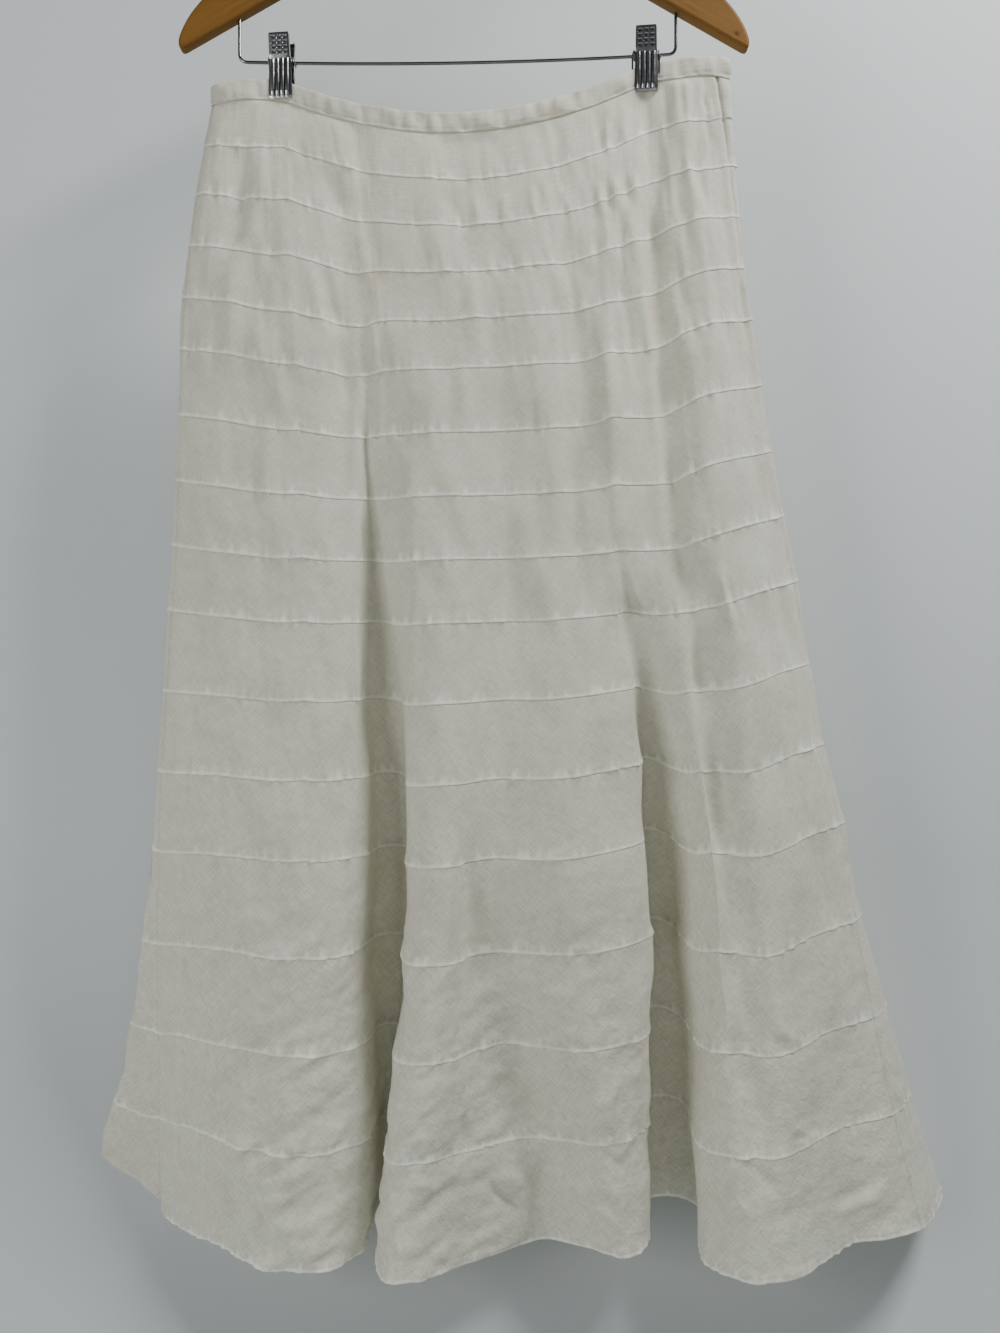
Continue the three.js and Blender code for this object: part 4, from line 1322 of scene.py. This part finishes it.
class SKIRT_OT_clips(bpy.types.Operator):
    """Make the two clips: one jaw, copied, and a coil spring for each."""

    bl_idname = "skirt.clips"
    bl_label = "Clips"

    def execute(self, context):
        plated = chrome_finish("chrome_clip", look(), 0.58, 0.16)
        # A darker copy of the plating for the jaw's hollows: painted shade.
        hollow_shade = chrome_finish("chrome_hollow_shade", look(), 0.14, 0.4)
        spring = chrome_finish("spring_steel", look(), 0.3, 0.3)
        jaw = make_jaw(plated, hollow_shade)
        jaws = {"left_front": jaw, "left_back": copy_piece(jaw, "clip_left_back", -1)}
        jaws["right_front"] = copy_piece(jaw, "clip_right_front")
        jaws["right_back"] = copy_piece(jaw, "clip_right_back", -1)
        for key, piece in jaws.items():
            hand, part = key.split("_")
            x = -CLIP_X if hand == "left" else CLIP_X
            move_clip(piece, x, bar_height(x))
            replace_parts(piece, f"clip_{hand}_{part}_jaw")
        for hand, x in (("left", -CLIP_X), ("right", CLIP_X)):
            coil = wire(f"clip_{hand}_spring", coil_route(x, bar_height(x)), COIL["wire"], spring, 2)
            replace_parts(coil, f"clip_{hand}_sleeve")
        return {"FINISHED"}


class SKIRT_OT_zip(bpy.types.Operator):
    """Give the frame's zip, which stays, its woven tape."""

    bl_idname = "skirt.zip"
    bl_label = "Zip"

    def execute(self, context):
        for slot in bpy.data.objects["side_zip"].material_slots:
            slot.material = tape_finish()
        return {"FINISHED"}


# The room in metres: the floor's front edge, half its width, the wall's top and the bend between them.
ROOM = {"front": -7.0, "half": 6.0, "top": 2.2, "bend": 0.6, "steps": 12}

# The lights: name, place, the point aimed at, side of the square, watts.
LIGHTS = (
    ("right", (0.9, -0.55, 0.7), (0.1, 0.0, -0.55), 0.5, 31.5),
    ("left", (-1.3, -1.2, -0.7), (0.0, 0.0, -0.8), 1.0, 15.5),
    ("front", (0.15, -1.9, -1.1), (0.05, 0.0, -0.95), 1.2, 3),
    ("rear", (0.6, 2.1, 0.9), (0.0, 0.0, -0.75), 1.6, 24),
)
SKY = {"Color": (0.88, 0.95, 1.0, 1), "Strength": 0.09}
SENSOR = 36  # width of the camera's sensor, in millimetres
LENS = 31.17


class SKIRT_OT_stage(bpy.types.Operator):
    """Make the wall and floor, the lights and the camera."""

    bl_idname = "skirt.stage"
    bl_label = "Stage"

    def execute(self, context):
        low, high = CAD_BOUNDS
        wall_y = high.y + sizes().wall_gap
        floor_z = low.z - sizes().floor_drop
        bend, half, steps = ROOM["bend"], ROOM["half"], ROOM["steps"]
        bend_y, bend_z = wall_y - bend, floor_z + bend
        profile = [(ROOM["front"], floor_z, half), (bend_y, floor_z, half)]
        for i in range(1, steps + 1):
            angle = math.radians(90 * i / steps)
            profile.append((bend_y + bend * math.sin(angle), bend_z - bend * math.cos(angle), half))
        profile.append((wall_y, ROOM["top"], half))
        room = strip(profile)
        select_in(room, "FACE", lambda face: face.normal.z - face.normal.y < 0)
        bpy.ops.mesh.flip_normals()
        bpy.ops.object.mode_set(mode="OBJECT")
        bpy.ops.object.shade_smooth()
        room.name = "backdrop"
        room.data.materials.append(backdrop_finish(look()))
        room.visible_shadow = False
        for light in LIGHTS:
            add_light(*light)
        world = bpy.data.worlds.new("room")
        world.use_nodes = True
        for key, value in SKY.items():
            world.node_tree.nodes["Background"].inputs[key].default_value = value
        context.scene.world = world
        add_camera(context)
        return {"FINISHED"}


def add_light(name, place, target, size, watts):
    """A square soft light aimed at a point."""
    aim = (Vector(target) - Vector(place)).to_track_quat("-Z", "Y").to_euler()
    lamp = add_alone(bpy.ops.object.light_add, type="AREA", location=place, rotation=aim)
    lamp.name = name
    lamp.data.size = size
    lamp.data.energy = watts


def add_camera(context):
    """A level camera in front of the hanger."""
    across, up = sizes().eye_place
    place = (across, -sizes().eye_distance, up)
    camera = add_alone(bpy.ops.object.camera_add, location=place, rotation=(math.pi / 2, 0, 0))
    camera.name = "camera"
    camera.data.sensor_fit = "AUTO"
    camera.data.sensor_width = SENSOR
    camera.data.lens = LENS
    context.scene.camera = camera


class SKIRT_PT_panel(bpy.types.Panel):
    """Lists the skirt's sizes, colours and steps."""

    bl_idname = "SKIRT_PT_panel"
    bl_label = "Tiered skirt"
    bl_space_type = "VIEW_3D"
    bl_region_type = "UI"
    bl_category = "Skirt"

    def draw(self, context):
        for group in (context.scene.skirt_look, context.scene.skirt_sizes):
            for key in group.__annotations__:
                self.layout.prop(group, key)
        for step in STEPS:
            self.layout.operator(step.bl_idname)


STEPS = (SKIRT_OT_waistband, SKIRT_OT_tiers, SKIRT_OT_hanger, SKIRT_OT_clips, SKIRT_OT_zip, SKIRT_OT_stage)
CLASSES = (SkirtLook, SkirtSizes, *STEPS, SKIRT_PT_panel)


def register():
    for entry in CLASSES:
        bpy.utils.register_class(entry)
    bpy.types.Scene.skirt_look = bpy.props.PointerProperty(type=SkirtLook)
    bpy.types.Scene.skirt_sizes = bpy.props.PointerProperty(type=SkirtSizes)


def unregister():
    del bpy.types.Scene.skirt_sizes
    del bpy.types.Scene.skirt_look
    for entry in reversed(CLASSES):
        bpy.utils.unregister_class(entry)


def main():
    register()
    for step in STEPS:
        group, name = step.bl_idname.split(".")
        getattr(getattr(bpy.ops, group), name)()


if __name__ == "__main__":
    main()
